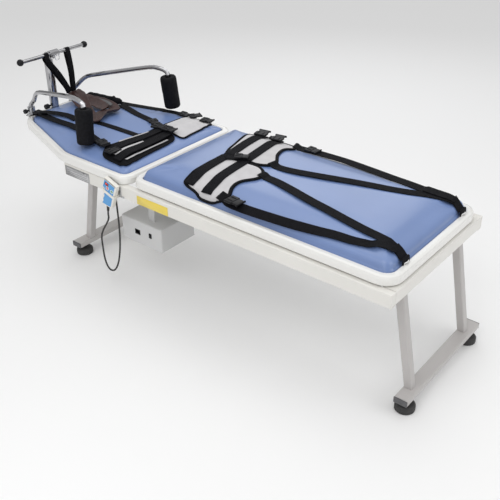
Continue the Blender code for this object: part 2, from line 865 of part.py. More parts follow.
def build_arm(side_name, side):
    x, y = SOCKET[0], side * SOCKET[1]
    height = SOCKET_TOP - SOCKET_BOTTOM
    middle_z = (SOCKET_TOP + SOCKET_BOTTOM) / 2
    name = f"arm_socket_{side_name}"
    socket = cylinder(name, SOCKET_RADIUS, height, (x, y, middle_z), Z_AXIS, "zinc", 24)
    edge_mesh = lofted_mesh(
        f"{name}_edge",
        lambda inset: rounded_polygon(HEAD_OUTLINE, inset, 5),
        ((-0.0005, -0.02), (-0.0005, BOARD_THICKNESS + 0.0005)),
    )
    edge = piece(f"{name}_edge", edge_mesh, None, (0, 0, HEAD_BOARD_Z))
    boolean(socket, edge)
    bore_middle = (x, y, ARM_ROUTE[0][2] - GAP + 0.030)
    bore = cylinder(f"{name}_bore", ARM_RADIUS + 0.0004, 0.060, bore_middle, Z_AXIS, None, 20)
    boolean(socket, bore)

    pivot = Vector((SOCKET[0], SOCKET[1], 0.0))
    swing = Matrix.Rotation(SWING[side_name], 3, "Z")

    def placed(point):
        return mirrored(pivot + swing @ (Vector(point) - pivot), side)

    top, bottom = placed(PAD_TOP), placed(PAD_BOTTOM)
    along = top - bottom
    route = [placed(p) for p in ARM_ROUTE]
    route += [bottom + along * share for share in (1.12, 1.0, 0.80, 0.15)]
    arm = tube_mesh(f"arm_bar_{side_name}", smooth_curve(route, 2), ARM_RADIUS, 3)
    piece(f"arm_bar_{side_name}", arm, "chrome")
    lean = along.to_track_quat("Z", "Y").to_euler()
    half = along.length / 2
    bore_radius = ARM_RADIUS + 0.0016
    profile = (
        (bore_radius, half),
        (PAD_RADIUS - 0.006, half),
        (PAD_RADIUS - 0.0015, half - 0.002),
        (PAD_RADIUS, half - 0.007),
        (PAD_RADIUS, -half + 0.006),
        (PAD_RADIUS - 0.005, -half),
        (0.0, -half),
        (0.0, -half + 0.012),
        (bore_radius, -half + 0.012),
    )
    pad_name = f"arm_pad_{side_name}"
    pad = turned_mesh(pad_name, profile, 28, closed=True)
    piece(pad_name, pad, "black_foam", (top + bottom) / 2, lean)
    build_knob(
        f"arm_knob_{side_name}",
        0.0100,
        0.014,
        0.008,
        (x, y + side * (SOCKET_RADIUS + GAP), SOCKET_TOP - 0.013),
        (0, side, 0),
        Y_AXIS,
    )


def build_control_box():
    size = BOX_HIGH - BOX_LOW
    middle = (BOX_HIGH + BOX_LOW) / 2
    corners = (
        (-size.x / 2, -size.y / 2, 0.008),
        (size.x / 2, -size.y / 2, 0.008),
        (size.x / 2, size.y / 2, 0.008),
        (-size.x / 2, size.y / 2, 0.008),
    )
    levels = (
        (0.003, size.z - 0.002),
        (0.002, size.z - 0.004),
        (0.002, 0.0),
        (0.0, 0.0),
        (0.0, size.z - 0.003),
        (0.003, size.z),
    )
    mesh = lofted_mesh("control_box", lambda inset: rounded_polygon(corners, inset, 3), levels)
    case = piece("control_box", mesh, "box_paint", (middle.x, middle.y, BOX_LOW.z))
    for number, y in enumerate((-0.215, -0.095)):
        hanger = box(
            f"box_hanger_{number}",
            (CROSS_X - 0.015, y - 0.002, BOX_HIGH.z - 0.001),
            (CROSS_X + 0.015, y + 0.002, RAIL_BOTTOM - CROSS_DROP - GAP),
            None,
        )
        boolean(case, hanger, "UNION")
    switch_hole = box(
        "switch_hole",
        (SWITCH[0] - 0.0075, BOX_LOW.y - 0.01, SWITCH[1] - 0.0110),
        (SWITCH[0] + 0.0075, BOX_LOW.y + 0.01, SWITCH[1] + 0.0110),
        None,
    )
    boolean(case, switch_hole)
    inlet_hole = box(
        "inlet_hole",
        (INLET[0] - 0.0142, BOX_LOW.y - 0.01, INLET[1] - 0.0112),
        (INLET[0] + 0.0142, BOX_LOW.y + 0.01, INLET[1] + 0.0112),
        None,
    )
    boolean(case, inlet_hole)
    rocker = box(
        "power_switch",
        (SWITCH[0] - 0.0065, BOX_LOW.y - 0.003, SWITCH[1] - 0.0098),
        (SWITCH[0] + 0.0065, BOX_LOW.y + 0.005, SWITCH[1] + 0.0098),
        "black_plastic",
    )
    bevel(rocker, 0.0012, 1)
    inlet = box(
        "power_inlet",
        (INLET[0] - 0.0138, BOX_LOW.y - 0.001, INLET[1] - 0.0108),
        (INLET[0] + 0.0138, BOX_LOW.y + 0.020, INLET[1] + 0.0108),
        "black_plastic",
    )
    socket = box(
        "inlet_recess",
        (INLET[0] - 0.0115, BOX_LOW.y - 0.010, INLET[1] - 0.0080),
        (INLET[0] + 0.0115, BOX_LOW.y + 0.015, INLET[1] + 0.0080),
        None,
    )
    boolean(inlet, socket)


def build_handset(parent):
    outline = smooth_curve(HANDSET_OUTLINE, 2, closed=True)

    def outline_at(inset):
        return offset_loop(outline, inset)

    depth = HANDSET_HALF_DEPTH
    wall = HANDSET_SHELL
    front_levels = (
        (wall + 0.0008, depth - wall - 0.0003),
        (wall, depth - wall - 0.0020),
        (wall, 0.0),
        (0.0, 0.0),
        (0.0, depth - 0.0040),
        (0.0010, depth - 0.0013),
        (0.0032, depth),
    )
    back_levels = [(inset, -height - GAP) for inset, height in reversed(front_levels)]
    front_mesh = lofted_mesh("handset_front", outline_at, front_levels)
    front = piece("handset_front", front_mesh, "handset_shell", rotation=Y_AXIS, parent=parent)
    back_mesh = lofted_mesh("handset_back", outline_at, back_levels)
    piece("handset_back", back_mesh, "handset_shell", rotation=Y_AXIS, parent=parent)

    ceiling = depth - wall - 0.0003
    button_profile = (
        (0.0, depth + 0.0012),
        (BUTTON_RADIUS - 0.0008, depth + 0.0012),
        (BUTTON_RADIUS, depth + 0.0005),
        (BUTTON_RADIUS, ceiling - 0.0004),
        (BUTTON_RADIUS + 0.0018, ceiling - 0.0004),
        (BUTTON_RADIUS + 0.0018, ceiling - 0.0024),
        (0.0, ceiling - 0.0024),
    )
    for name, (u, v) in BUTTONS.items():
        finish = "red_button" if name == "release_button" else "green_button"
        mesh = turned_mesh(name, button_profile, 20)
        piece(name, mesh, finish, (u, 0.0, v), Y_AXIS, parent)
        hole = cylinder(
            f"{name}_hole", BUTTON_RADIUS + 0.0004, 0.014, (u, -depth, v), Y_AXIS, None, 20, parent
        )
        boolean(front, hole)
    half_w, half_h = WINDOW_SIZE[0] / 2, WINDOW_SIZE[1] / 2
    u, v = WINDOW
    opening = box(
        "window_opening",
        (u - half_w, -depth - 0.01, v - half_h),
        (u + half_w, -depth + 0.01, v + half_h),
        None,
        parent,
    )
    boolean(front, opening)
    box(
        "display_window",
        (u - half_w + GAP, -depth + 0.0002, v - half_h + GAP),
        (u + half_w - GAP, -depth + 0.0022, v + half_h - GAP),
        "display",
        parent,
    )

    relief_profile = (
        (0.0, 0.0),
        (0.0060, 0.0),
        (0.0060, -0.004),
        (0.0048, -RELIEF_LENGTH),
        (0.0, -RELIEF_LENGTH),
    )
    mesh = turned_mesh("handset_strain_relief", relief_profile, 16)
    turn = (0.0, -RELIEF_TURN, 0.0)
    place = (RELIEF_START.x, 0.0, RELIEF_START.y - 0.0003)
    piece("handset_strain_relief", mesh, "black_rubber", place, turn, parent)


def build_holder(parent):
    """A band round the handset's grip, which its wider head rests on, and a plate on the rail."""
    left, right = -0.0241, 0.0358
    half = HANDSET_HALF_DEPTH + 0.001
    wall = 0.003
    inner = [(left, -half), (right, -half), (right, half), (left, half)]
    outer = [
        (left - wall, -half - wall),
        (right + wall, -half - wall),
        (right + wall, half + wall),
        (left - wall, half + wall),
    ]
    band = plate_mesh("handset_holder", (outer, inner), 0.0106)
    holder = piece("handset_holder", band, "handset_shell", (0, 0, 0.0074), parent=parent)
    back_y = -HALF_WIDTH - GAP
    plate = box(
        "holder_plate", (-0.270, back_y - 0.0037, 0.4265), (-0.2145, back_y, 0.4685), None
    )
    boolean(holder, plate, "UNION")


def build_cord():
    x, y = GROMMET
    profile = (
        (0.0, 0.0),
        (0.0080, 0.0),
        (0.0080, -0.004),
        (0.0055, -GROMMET_LENGTH),
        (0.0, -GROMMET_LENGTH),
    )
    mesh = turned_mesh("cord_grommet", profile, 16)
    piece("cord_grommet", mesh, "black_rubber", (x, y, RAIL_BOTTOM - GAP))
    exit_z = RAIL_BOTTOM - 2 * GAP - GROMMET_LENGTH
    down = Vector((math.sin(RELIEF_TURN), 0.0, -math.cos(RELIEF_TURN)))
    relief = Vector((RELIEF_START.x, 0.0, RELIEF_START.y - GAP)) + down * (RELIEF_LENGTH + GAP)
    tilt = Matrix.Rotation(HANDSET_TILT, 4, "Y")
    entry = HANDSET + tilt @ relief
    lead = tilt @ down
    route = [Vector((x, y, exit_z)), *(Vector(p) for p in CORD_ROUTE)]
    route += [entry + lead * 0.045, entry + lead * 0.015, entry]
    tube = tube_mesh("handset_cord", smooth_curve(route, 3), CORD_RADIUS, 2)
    piece("handset_cord", tube, "black_rubber")


def slab(name, outline, low, high, finish):
    mesh = plate_mesh(name, (outline,), high - low)
    piece(name, mesh, finish, (0, 0, (low + high) / 2))


def build_soft_goods():
    foot_top = FOOT_BOARD_Z + BOARD_THICKNESS + FOOT_CROWN
    for side_name, outline in PELVIC_OUTLINES.items():
        name = f"pelvic_harness_{side_name}"
        slab(name, outline, foot_top + 0.0005, foot_top + 0.008, "webbing")
    slab("chest_harness", CHEST_OUTLINE, CUSHION_TOP + 0.0005, CUSHION_TOP + 0.010, "webbing")
    slab("head_halter", HALTER_OUTLINE, CUSHION_TOP + 0.0005, CUSHION_TOP + 0.030, "leather")


clear_scene()
PARTS = collection("traction_bed")
CUTTERS = collection("cutters")
BED = empty("bed", BED_PLACE)
build_rails()
build_stands()
build_boards()
build_tracks()
build_rollers()
build_carriage()
build_actuator()
build_post()
build_arm("near", -1)
build_arm("far", 1)
build_control_box()
handset = empty("handset_centre", HANDSET, (0.0, HANDSET_TILT, 0.0), BED)
build_handset(handset)
build_holder(handset)
build_cord()
build_soft_goods()
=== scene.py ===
"""The finished look of the motorised traction bed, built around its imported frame."""

import json
import math

import bmesh
import bpy
from mathutils import Matrix, Vector
from mathutils.bvhtree import BVHTree


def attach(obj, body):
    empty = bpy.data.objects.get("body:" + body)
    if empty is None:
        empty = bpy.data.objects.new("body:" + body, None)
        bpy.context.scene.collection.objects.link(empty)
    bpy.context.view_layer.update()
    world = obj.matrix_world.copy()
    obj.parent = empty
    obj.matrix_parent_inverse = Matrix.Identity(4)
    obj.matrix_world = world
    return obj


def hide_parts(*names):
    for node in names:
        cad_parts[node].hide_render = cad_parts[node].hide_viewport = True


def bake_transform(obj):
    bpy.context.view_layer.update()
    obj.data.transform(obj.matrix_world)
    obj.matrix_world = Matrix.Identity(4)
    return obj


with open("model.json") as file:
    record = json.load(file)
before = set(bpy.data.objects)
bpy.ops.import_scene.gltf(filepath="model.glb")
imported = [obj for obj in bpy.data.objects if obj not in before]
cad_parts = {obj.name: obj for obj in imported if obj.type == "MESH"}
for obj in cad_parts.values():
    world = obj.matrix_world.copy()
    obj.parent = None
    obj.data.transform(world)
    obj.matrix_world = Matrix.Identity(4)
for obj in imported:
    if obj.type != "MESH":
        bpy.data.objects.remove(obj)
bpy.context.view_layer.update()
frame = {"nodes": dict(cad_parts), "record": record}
NODES = frame["nodes"]

# The bed's own axes in the row frame: lengths below are along the bed from the boards' gap
BED = Vector((-0.02175, 0.0153, 0.0))

# ---- camera
CAMERA_PLACE = Vector((1.7556, -1.9924, 1.7487))
CAMERA_AZIMUTH = math.radians(38.71)
CAMERA_DROP = math.radians(31.34)
CAMERA_LENS = 54.8

# ---- sizes
RIM_WIDTH = 0.028
BOARD_THICKNESS = 0.035
BOARD_FLOOR = 0.012
HEAD_BOARD_Z = 0.4728
FOOT_BOARD_Z = 0.4755
# Each cushion's edge above its rim: (inset from the rim's inner face, height)
HEAD_EDGE = (
    (0.003, 0.0035), (0.01, 0.0095), (0.024, 0.0135), (0.045, 0.0165), (0.08, 0.0205),
    (0.12, 0.0235), (0.17, 0.025),
)
FOOT_EDGE = (
    (0.0, 0.008), (0.003, 0.02), (0.011, 0.03), (0.026, 0.037), (0.055, 0.0415), (0.11, 0.045),
    (0.17, 0.047),
)
HEAD_OUTLINE = (
    (-0.174, -0.316, 0.052), (-0.174, 0.316, 0.052), (-0.54, 0.316, 0.2), (-0.99, 0.163, 0.12),
    (-0.99, -0.163, 0.12), (-0.54, -0.316, 0.2),
)
FOOT_OUTLINE = (
    (0.9466, -0.3, 0.063), (0.9466, 0.3, 0.063), (-0.163, 0.3, 0.052), (-0.163, -0.3, 0.052),
)
T_BAR = Vector((-0.923, 0.0, 0.763))
T_BAR_RADIUS = 0.008
POST_X = -0.964

HANDSET = Vector((-0.2472, -0.3328, 0.4328))
HANDSET_TILT = math.radians(19.5)
HANDSET_DEPTH = 0.0105
HANDSET_OUTLINE = (
    (0.035, 0.0543), (0.0339, 0.0584), (0.0299, 0.0598), (-0.0267, 0.0603), (-0.0308, 0.0589),
    (-0.0324, 0.0547), (-0.0348, 0.0239), (-0.0331, 0.0179), (-0.0285, 0.0147), (-0.023, 0.0132),
    (-0.0189, 0.0092), (-0.0177, 0.0041), (-0.0198, -0.0018), (-0.0221, -0.0074),
    (-0.0205, -0.0129), (-0.0191, -0.0175), (-0.0207, -0.0235), (-0.023, -0.029),
    (-0.0221, -0.0345), (-0.0201, -0.04), (-0.0212, -0.046), (-0.0237, -0.0515), (-0.0237, -0.0566),
    (-0.0198, -0.0598), (0.0092, -0.055), (0.0258, -0.0515), (0.0313, -0.0483), (0.0333, -0.0428),
    (0.0339, -0.0184), (0.0348, 0.0368),
)
BUTTONS = {"release": (-0.0047, 0.027), "traction": (0.0191, 0.0267)}
WINDOW = (-0.0122, 0.0415)
WINDOW_SIZE = (0.0168, 0.0099)
RELIEF_START = Vector((0.0041, -0.0564))
RELIEF_TURN = math.radians(12.0)
RELIEF_LENGTH = 0.025

# How the soft pieces are meshed and laid
CUSHION_VOXEL = 0.006
CUSHION_SMOOTHING = 14
SWELL_CAP = 0.0065
PANEL_VOXEL = 0.004
PANEL_LIFT = 0.0006
STRAP_SPACING = 0.008
ABOVE_ALL = 0.7
BELOW_BOARDS = 0.45

GROMMET = (-0.25, -0.301)
GROMMET_LENGTH = 0.013
RAIL_BOTTOM = 0.4225
GAP = 0.0003
CORD_RADIUS = 0.0035
CORD_ROUTE = (
    (-0.25, -0.301, 0.385), (-0.248, -0.3016, 0.34), (-0.245, -0.3035, 0.28),
    (-0.244, -0.307, 0.22), (-0.2475, -0.312, 0.16), (-0.256, -0.318, 0.11), (-0.27, -0.324, 0.078),
    (-0.288, -0.328, 0.068), (-0.306, -0.3305, 0.078), (-0.3185, -0.332, 0.112),
    (-0.3225, -0.3326, 0.165), (-0.319, -0.3328, 0.23),
)


# ---- mesh helpers
def adopt(name, data):
    """A new object in the scene."""
    item = bpy.data.objects.new(name, data)
    bpy.context.scene.collection.objects.link(item)
    return item


def link(name, mesh, material, smooth=True):
    """A new object in the scene with one material."""
    mesh.name = name
    item = adopt(name, mesh)
    mesh.materials.clear()
    if material:
        mesh.materials.append(material)
    for face in mesh.polygons:
        face.use_smooth = smooth
    return item


def mount(item, body):
    """The piece rides on the body."""
    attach(item, body)
    return item


def shift(item, x, y, z):
    """Moves the mesh within the piece's own axes."""
    item.data.transform(Matrix.Translation((x, y, z)))
    return item


def put(item, x, y, z, body):
    """Moves the mesh to a place on the bed and mounts the piece."""
    shift(item, *(Vector((x, y, z)) + BED))
    return mount(item, body)


def mesh_of(name, shape):
    bmesh.ops.recalc_face_normals(shape, faces=shape.faces)
    mesh = bpy.data.meshes.new(name)
    shape.to_mesh(mesh)
    shape.free()
    return mesh


def remesh(item, size):
    even = item.modifiers.new("even", "REMESH")
    even.mode = "VOXEL"
    even.voxel_size = size
    apply_modifiers(item)


def apply_modifiers(item):
    graph = bpy.context.evaluated_depsgraph_get()
    mesh = bpy.data.meshes.new_from_object(item.evaluated_get(graph), depsgraph=graph)
    old = item.data
    item.modifiers.clear()
    item.data = mesh
    bpy.data.meshes.remove(old)
    mesh.name = item.name
    return item


def curve_through(points, steps, closed=False):
    """Points along the Catmull-Rom curve through the given ones."""
    nodes = [Vector(p) for p in points]
    count = len(nodes)
    if closed:
        spans = [[nodes[(i + k) % count] for k in (-1, 0, 1, 2)] for i in range(count)]
    else:
        ends = [2 * nodes[0] - nodes[1], *nodes, 2 * nodes[-1] - nodes[-2]]
        spans = [ends[i : i + 4] for i in range(count - 1)]
    curve = []
    for a, b, c, d in spans:
        for k in range(steps):
            t = k / steps
            bend = 2 * a - 5 * b + 4 * c - d
            twist = 3 * b - a - 3 * c + d
            curve.append(0.5 * (2 * b + (c - a) * t + bend * t**2 + twist * t**3))
    if not closed:
        curve.append(nodes[-1])
    return curve


def evenly(points, spacing, closed=False):
    """The same line with its points about spacing apart."""
    line = list(points) + ([points[0]] if closed else [])
    marks = [0.0]
    for a, b in zip(line, line[1:]):
        marks.append(marks[-1] + (b - a).length)
    count = max(2, round(marks[-1] / spacing))
    result = []
    k = 0
    for i in range(count + (0 if closed else 1)):
        target = marks[-1] * i / count
        while k < len(marks) - 2 and marks[k + 1] < target:
            k += 1
        span = max(marks[k + 1] - marks[k], 1e-9)
        result.append(line[k].lerp(line[k + 1], min(1.0, (target - marks[k]) / span)))
    return result


def rounded_polygon(corners, inset, segments=6):
    """Anticlockwise outline of a convex polygon moved inwards, with an arc at each corner."""
    count = len(corners)
    sides = []
    for i, corner in enumerate(corners):
        before = Vector(corners[i - 1][:2])
        here = Vector(corner[:2])
        after = Vector(corners[(i + 1) % count][:2])
        arriving = (here - before).normalized()
        leaving = (after - here).normalized()
        normal = Vector((-arriving.y, arriving.x))
        bisector = (normal + Vector((-leaving.y, leaving.x))).normalized()
        moved = here + bisector * (inset / bisector.dot(normal))
        sides.append((moved, arriving, normal, arriving.angle(leaving), corner[2]))
    points = []
    for moved, arriving, normal, turn, radius in sides:
        radius = max(radius - inset, 0.003)
        centre = moved - arriving * (radius * math.tan(turn / 2)) + normal * radius
        for k in range(segments + 1):
            arm = -normal
            arm.rotate(Matrix.Rotation(turn * k / segments, 2))
            points.append(centre + arm * radius)
    return points


def loft(name, rings, closed_path=False):
    """A skin over rings of equal counts, capped unless the path closes on itself."""
    shape = bmesh.new()
    rows = [[shape.verts.new(p) for p in ring] for ring in rings]
    count = len(rows[0])
    pairs = list(zip(rows, rows[1:]))
    if closed_path:
        pairs.append((rows[-1], rows[0]))
    for lower, upper in pairs:
        for i in range(count):
            j = (i + 1) % count
            shape.faces.new((lower[i], lower[j], upper[j], upper[i]))
    if not closed_path:
        shape.faces.new(list(reversed(rows[0])))
        shape.faces.new(rows[-1])
    return mesh_of(name, shape)


def frames_along(line, ups, closed=False):
    """(place, side, up) at each point of the line."""
    result = []
    count = len(line)
    for i, here in enumerate(line):
        if closed:
            along = line[(i + 1) % count] - line[i - 1]
        else:
            along = line[min(i + 1, count - 1)] - line[max(i - 1, 0)]
        along.normalize()
        up = Vector(ups[i]) if isinstance(ups, list) else Vector(ups)
        side = along.cross(up)
        if side.length < 1e-6:
            side = along.cross(Vector((0.0, 1.0, 0.0)))
        side.normalize()
        result.append((here, side, side.cross(along).normalized()))
    return result


def sweep(name, frames, section, closed=False):
    """The section, (across, up) points, swept along the frames."""
    rings = [[here + side * u + up * v for u, v in section] for here, side, up in frames]
    return loft(name, rings, closed)


def band_section(width, thickness):
    """A flat strap's section over its base line, a little thinner at the woven edges."""
    half = width / 2
    edge = half - 0.0008
    inner = half - 0.003
    t = thickness
    return [
        (-half, 0.3 * t), (-edge, 0.0), (-inner, 0.05 * t), (0.0, 0.0), (inner, 0.05 * t),
        (edge, 0.0), (half, 0.3 * t), (half, 0.7 * t), (edge, 0.95 * t), (inner, t),
        (half * 0.5, t * 1.02), (0.0, t), (-half * 0.5, t * 1.02), (-inner, t), (-edge, 0.95 * t),
        (-half, 0.7 * t),
    ]


def round_section(radius, count=10, flat=1.0):
    turns = [2 * math.pi * k / count for k in range(count)]
    return [(radius * math.cos(turn), flat * radius * math.sin(turn)) for turn in turns]


def block(name, size, material, radius=0.0015, segments=2):
    """A moulded block with rounded edges, centred on its origin."""
    shape = bmesh.new()
    bmesh.ops.create_cube(shape, size=1.0)
    bmesh.ops.scale(shape, vec=Vector(size), verts=shape.verts)
    bmesh.ops.bevel(
        shape,
        geom=list(shape.edges),
        offset=min(radius, min(size) * 0.45),
        segments=segments,
        profile=0.5,
        affect="EDGES",
    )
    return link(name, mesh_of(name, shape), material)


def turned(name, profile, material, steps=24):
    """A closed solid of revolution about Z from (radius, height) points."""
    shape = bmesh.new()
    rings = []
    for radius, height in profile:
        spots = round_section(radius, steps) if radius > 1e-6 else [(0.0, 0.0)]
        rings.append([shape.verts.new((*spot, height)) for spot in spots])
    for lower, upper in zip(rings, rings[1:]):
        for k in range(steps):
            j = (k + 1) % steps
            low, high = len(lower), len(upper)
            corners = (lower[k % low], lower[j % low], upper[j % high], upper[k % high])
            corners = list(dict.fromkeys(corners))
            if len(corners) > 2:
                shape.faces.new(corners)
    if profile[0] == profile[-1]:
        bmesh.ops.remove_doubles(shape, verts=shape.verts, dist=0.00001)
    return link(name, mesh_of(name, shape), material)


def domed(name, base, shoulder, height, material, steps):
    """A low round head: base and shoulder are (radius, height)."""
    profile = [(0.0, 0.0), (base[0], 0.0), base, shoulder, (0.0, height)]
    return turned(name, profile, material, steps)


def place(item, where, direction):
    """Moves the mesh itself: its local Z goes along direction."""
    z = Vector(direction).normalized()
    hint = Vector((0.0, 0.0, 1.0))
    if abs(z.dot(hint)) > 0.98:
        hint = Vector((1.0, 0.0, 0.0))
    x = hint.cross(z).normalized()
    turn = Matrix((x, z.cross(x), z)).transposed().to_4x4()
    item.data.transform(Matrix.Translation(where) @ turn)
    return item


def joined(name, items):
    """One piece from several meshes."""
    shape = bmesh.new()
    slots = []
    for item in items:
        start = len(shape.faces)
        mesh = item.data
        shape.from_mesh(mesh)
        shape.faces.ensure_lookup_table()
        for face in shape.faces[start:]:
            material = mesh.materials[face.material_index] if mesh.materials else None
            if material not in slots:
                slots.append(material)
            face.material_index = slots.index(material)
    mesh = bpy.data.meshes.new(name)
    shape.to_mesh(mesh)
    shape.free()
    for item in items:
        bpy.data.objects.remove(item)
    for material in slots:
        mesh.materials.append(material)
    return adopt(name, mesh)


# ---- materials
class Look:
    """A material on Principled BSDF with a few procedural layers."""

    def __init__(self, name, color, roughness, metallic=0.0, **sockets):
        self.material = bpy.data.materials.new(name)
        self.material.use_nodes = True
        self.tree = self.material.node_tree
        self.shader = self.tree.nodes["Principled BSDF"]
        self.set("Base Color", (*color, 1.0))
        self.set("Roughness", roughness)
        self.set("Metallic", metallic)
        for socket, value in sockets.items():
            self.set(socket.replace("_", " "), value)
        self.color = color
        self.coordinates = self.add("ShaderNodeTexCoord").outputs["Object"]
        self.normal = None

    def set(self, socket, value):
        self.shader.inputs[socket].default_value = value

    def add(self, kind, **inputs):
        node = self.tree.nodes.new(kind)
        for socket, value in inputs.items():
            node.inputs[socket.replace("_", " ")].default_value = value
        return node

    def wire(self, output, target):
        self.tree.links.new(output, target)

    def texture(self, kind, source=None, **inputs):
        node = self.add(f"ShaderNodeTex{kind}", **inputs)
        self.wire(source or self.coordinates, node.inputs["Vector"])
        return node

    def noise(self, scale, detail=3.0):
        node = self.texture("Noise", Scale=scale, Detail=detail, Roughness=0.55)
        return node.outputs["Fac"]

    def vary_color(self, value, darker, lighter):
        """The base colour times darker to lighter as value goes from 0.3 to 0.7."""
        node = self.add("ShaderNodeValToRGB")
        stops = zip(node.color_ramp.elements, (0.3, 0.7), (darker, lighter))
        for element, position, times in stops:
            element.position = position
            element.color = (*(min(1.0, c * times) for c in self.color), 1.0)
        self.wire(value, node.inputs["Fac"])
        self.wire(node.outputs["Color"], self.shader.inputs["Base Color"])

    def vary_roughness(self, value, low, high):
        ends = {"From_Min": 0.3, "From_Max": 0.7, "To_Min": low, "To_Max": high}
        node = self.add("ShaderNodeMapRange", **ends)
        node.clamp = True
        self.wire(value, node.inputs["Value"])
        self.wire(node.outputs["Result"], self.shader.inputs["Roughness"])

    def bump(self, value, strength, distance):
        node = self.add("ShaderNodeBump", Strength=strength, Distance=distance)
        self.wire(value, node.inputs["Height"])
        if self.normal:
            self.wire(self.normal, node.inputs["Normal"])
        self.normal = node.outputs["Normal"]
        self.wire(self.normal, self.shader.inputs["Normal"])

    def voronoi(self, scale, feature="F1"):
        node = self.texture("Voronoi", Scale=scale)
        node.feature = feature
        return node.outputs["Distance"]

    def wave(self, scale, direction, source=None):
        node = self.texture("Wave", source, Scale=scale)
        node.bands_direction = direction
        return node.outputs["Fac"]

    def multiply(self, a, b):
        node = self.add("ShaderNodeMath")
        node.operation = "MULTIPLY"
        self.wire(a, node.inputs[0])
        self.wire(b, node.inputs[1])
        return node.outputs[0]


def painted(name, color, roughness):
    look = Look(name, color, roughness, Coat_Weight=0.25, Coat_Roughness=0.18)
    look.vary_color(look.noise(3.0, 4.0), 0.965, 1.02)
    look.vary_roughness(look.noise(24.0), roughness - 0.06, roughness + 0.08)
    look.bump(look.noise(900.0, 2.0), 0.06, 0.0001)
    return look.material


def gloss_plastic(name, color, roughness, ripple=0.04):
    look = Look(name, color, roughness, Coat_Weight=0.35, Coat_Roughness=0.08)
    look.vary_color(look.noise(5.0, 4.0), 0.97, 1.015)
    look.vary_roughness(look.noise(12.0), roughness - 0.02, roughness + 0.03)
    look.bump(look.noise(14.0, 2.0), ripple, 0.001)
    return look.material


def matte_plastic(name, color, roughness, grain=1100.0, depth=0.12, shine=0.5):
    look = Look(name, color, roughness, Specular_IOR_Level=shine)
    look.vary_color(look.noise(60.0), 0.85, 1.2)
    look.bump(look.voronoi(grain), depth, 0.0004)
    return look.material


def vinyl():
    look = Look("blue_vinyl", (0.185, 0.275, 0.53), 0.34, Coat_Weight=0.5, Coat_Roughness=0.24)
    look.vary_color(look.noise(2.6, 3.0), 0.94, 1.05)
    look.vary_roughness(look.noise(9.0), 0.31, 0.37)
    look.bump(look.noise(520.0, 2.0), 0.05, 0.0001)
    look.bump(look.noise(7.0, 2.0), 0.08, 0.004)
    return look.material


def metal(name, color, roughness, streak=0.0):
    look = Look(name, color, roughness, 1.0)
    look.vary_roughness(look.noise(45.0), roughness * 0.7, roughness * 1.5)
    look.vary_color(look.noise(18.0), 0.88, 1.05)
    look.bump(look.noise(420.0, 2.0), 0.03 + streak, 0.0004)
    return look.material


def webbing(name, color, scale=260.0):
    """Woven tape: ribs across and threads along, from the strap's own length and width."""
    look = Look(name, color, 0.66, Specular_IOR_Level=0.12)
    tape = look.add("ShaderNodeAttribute")
    tape.attribute_name = "tape"
    source = tape.outputs["Vector"]
    ribs = look.wave(scale, "X", source=source)
    threads = look.wave(scale * 0.8, "Y", source=source)
    weave = look.multiply(ribs, threads)
    look.vary_color(look.noise(70.0), 0.75, 1.6)
    look.bump(weave, 0.55, 0.0009)
    look.bump(look.noise(900.0), 0.1, 0.0003)
    return look.material


def cloth(name, color, roughness=0.85, scale=1100.0, shine=0.3):
    look = Look(name, color, roughness, Specular_IOR_Level=shine)
    weave = look.multiply(look.wave(scale / 6.0, "X"), look.wave(scale / 6.0, "Y"))
    look.vary_color(look.noise(26.0), 0.93, 1.03)
    look.bump(weave, 0.25, 0.0006)
    look.bump(look.noise(42.0, 3.0), 0.22, 0.003)
    return look.material


def leather(name, color):
    look = Look(name, color, 0.46, Coat_Weight=0.15, Coat_Roughness=0.3)
    look.vary_color(look.noise(34.0, 5.0), 0.65, 1.55)
    look.vary_roughness(look.noise(70.0), 0.36, 0.58)
    look.bump(look.voronoi(420.0, "DISTANCE_TO_EDGE"), 0.35, 0.0007)
    look.bump(look.noise(60.0, 4.0), 0.3, 0.002)
    return look.material


def foam(name):
    look = Look(name, (0.006, 0.006, 0.0075), 0.72, Specular_IOR_Level=0.15)
    look.vary_color(look.noise(120.0), 0.7, 1.7)
    look.bump(look.voronoi(900.0), 0.45, 0.0008)
    look.bump(look.noise(50.0, 3.0), 0.2, 0.003)
    return look.material


def glowing(name, color, strength):
    look = Look(name, color, 0.3, Emission_Color=(*color, 1.0), Emission_Strength=strength)
    look.vary_roughness(look.noise(300.0), 0.25, 0.4)
    return look.material


FRAME_PAINT = painted("warm_white_paint", (0.8, 0.785, 0.745), 0.36)
LEG_PAINT = painted("leg_paint", (0.5, 0.48, 0.47), 0.4)
BOX_PAINT = painted("box_paint", (0.62, 0.62, 0.62), 0.45)
SHELL = gloss_plastic("board_shell", (0.86, 0.855, 0.83), 0.24)
VINYL = vinyl()
# Painted shade: the arms' chrome has a darker base colour than the rings' bright chrome, standing
# in for the dark surroundings it would reflect.
CHROME = metal("chrome_plate_painted_shade", (0.46, 0.46, 0.475), 0.12)
BRIGHT_CHROME = metal("bright_chrome", (0.82, 0.82, 0.83), 0.1)
ZINC = metal("zinc_plate", (0.55, 0.56, 0.58), 0.34, 0.03)
BLACK_PLASTIC = matte_plastic("black_plastic", (0.007, 0.007, 0.009), 0.4, shine=0.25)
GREY_CAP = matte_plastic("dark_grey_plastic", (0.1, 0.1, 0.105), 0.5)
NYLON = matte_plastic("nylon", (0.74, 0.73, 0.68), 0.42, 700.0, 0.06)
RUBBER = matte_plastic("black_rubber", (0.035, 0.034, 0.034), 0.66, 700.0, 0.2)
HANDSET_PLASTIC = gloss_plastic("cream_plastic", (0.83, 0.81, 0.75), 0.3, 0.02)
RED = gloss_plastic("red_button", (0.7, 0.02, 0.03), 0.26, 0.01)
GREEN = gloss_plastic("green_button", (0.02, 0.3, 0.12), 0.26, 0.01)
DARK_WINDOW = gloss_plastic("dark_window", (0.035, 0.002, 0.002), 0.1, 0.005)
DIGIT = glowing("lit_segment", (1.0, 0.03, 0.02), 2.2)
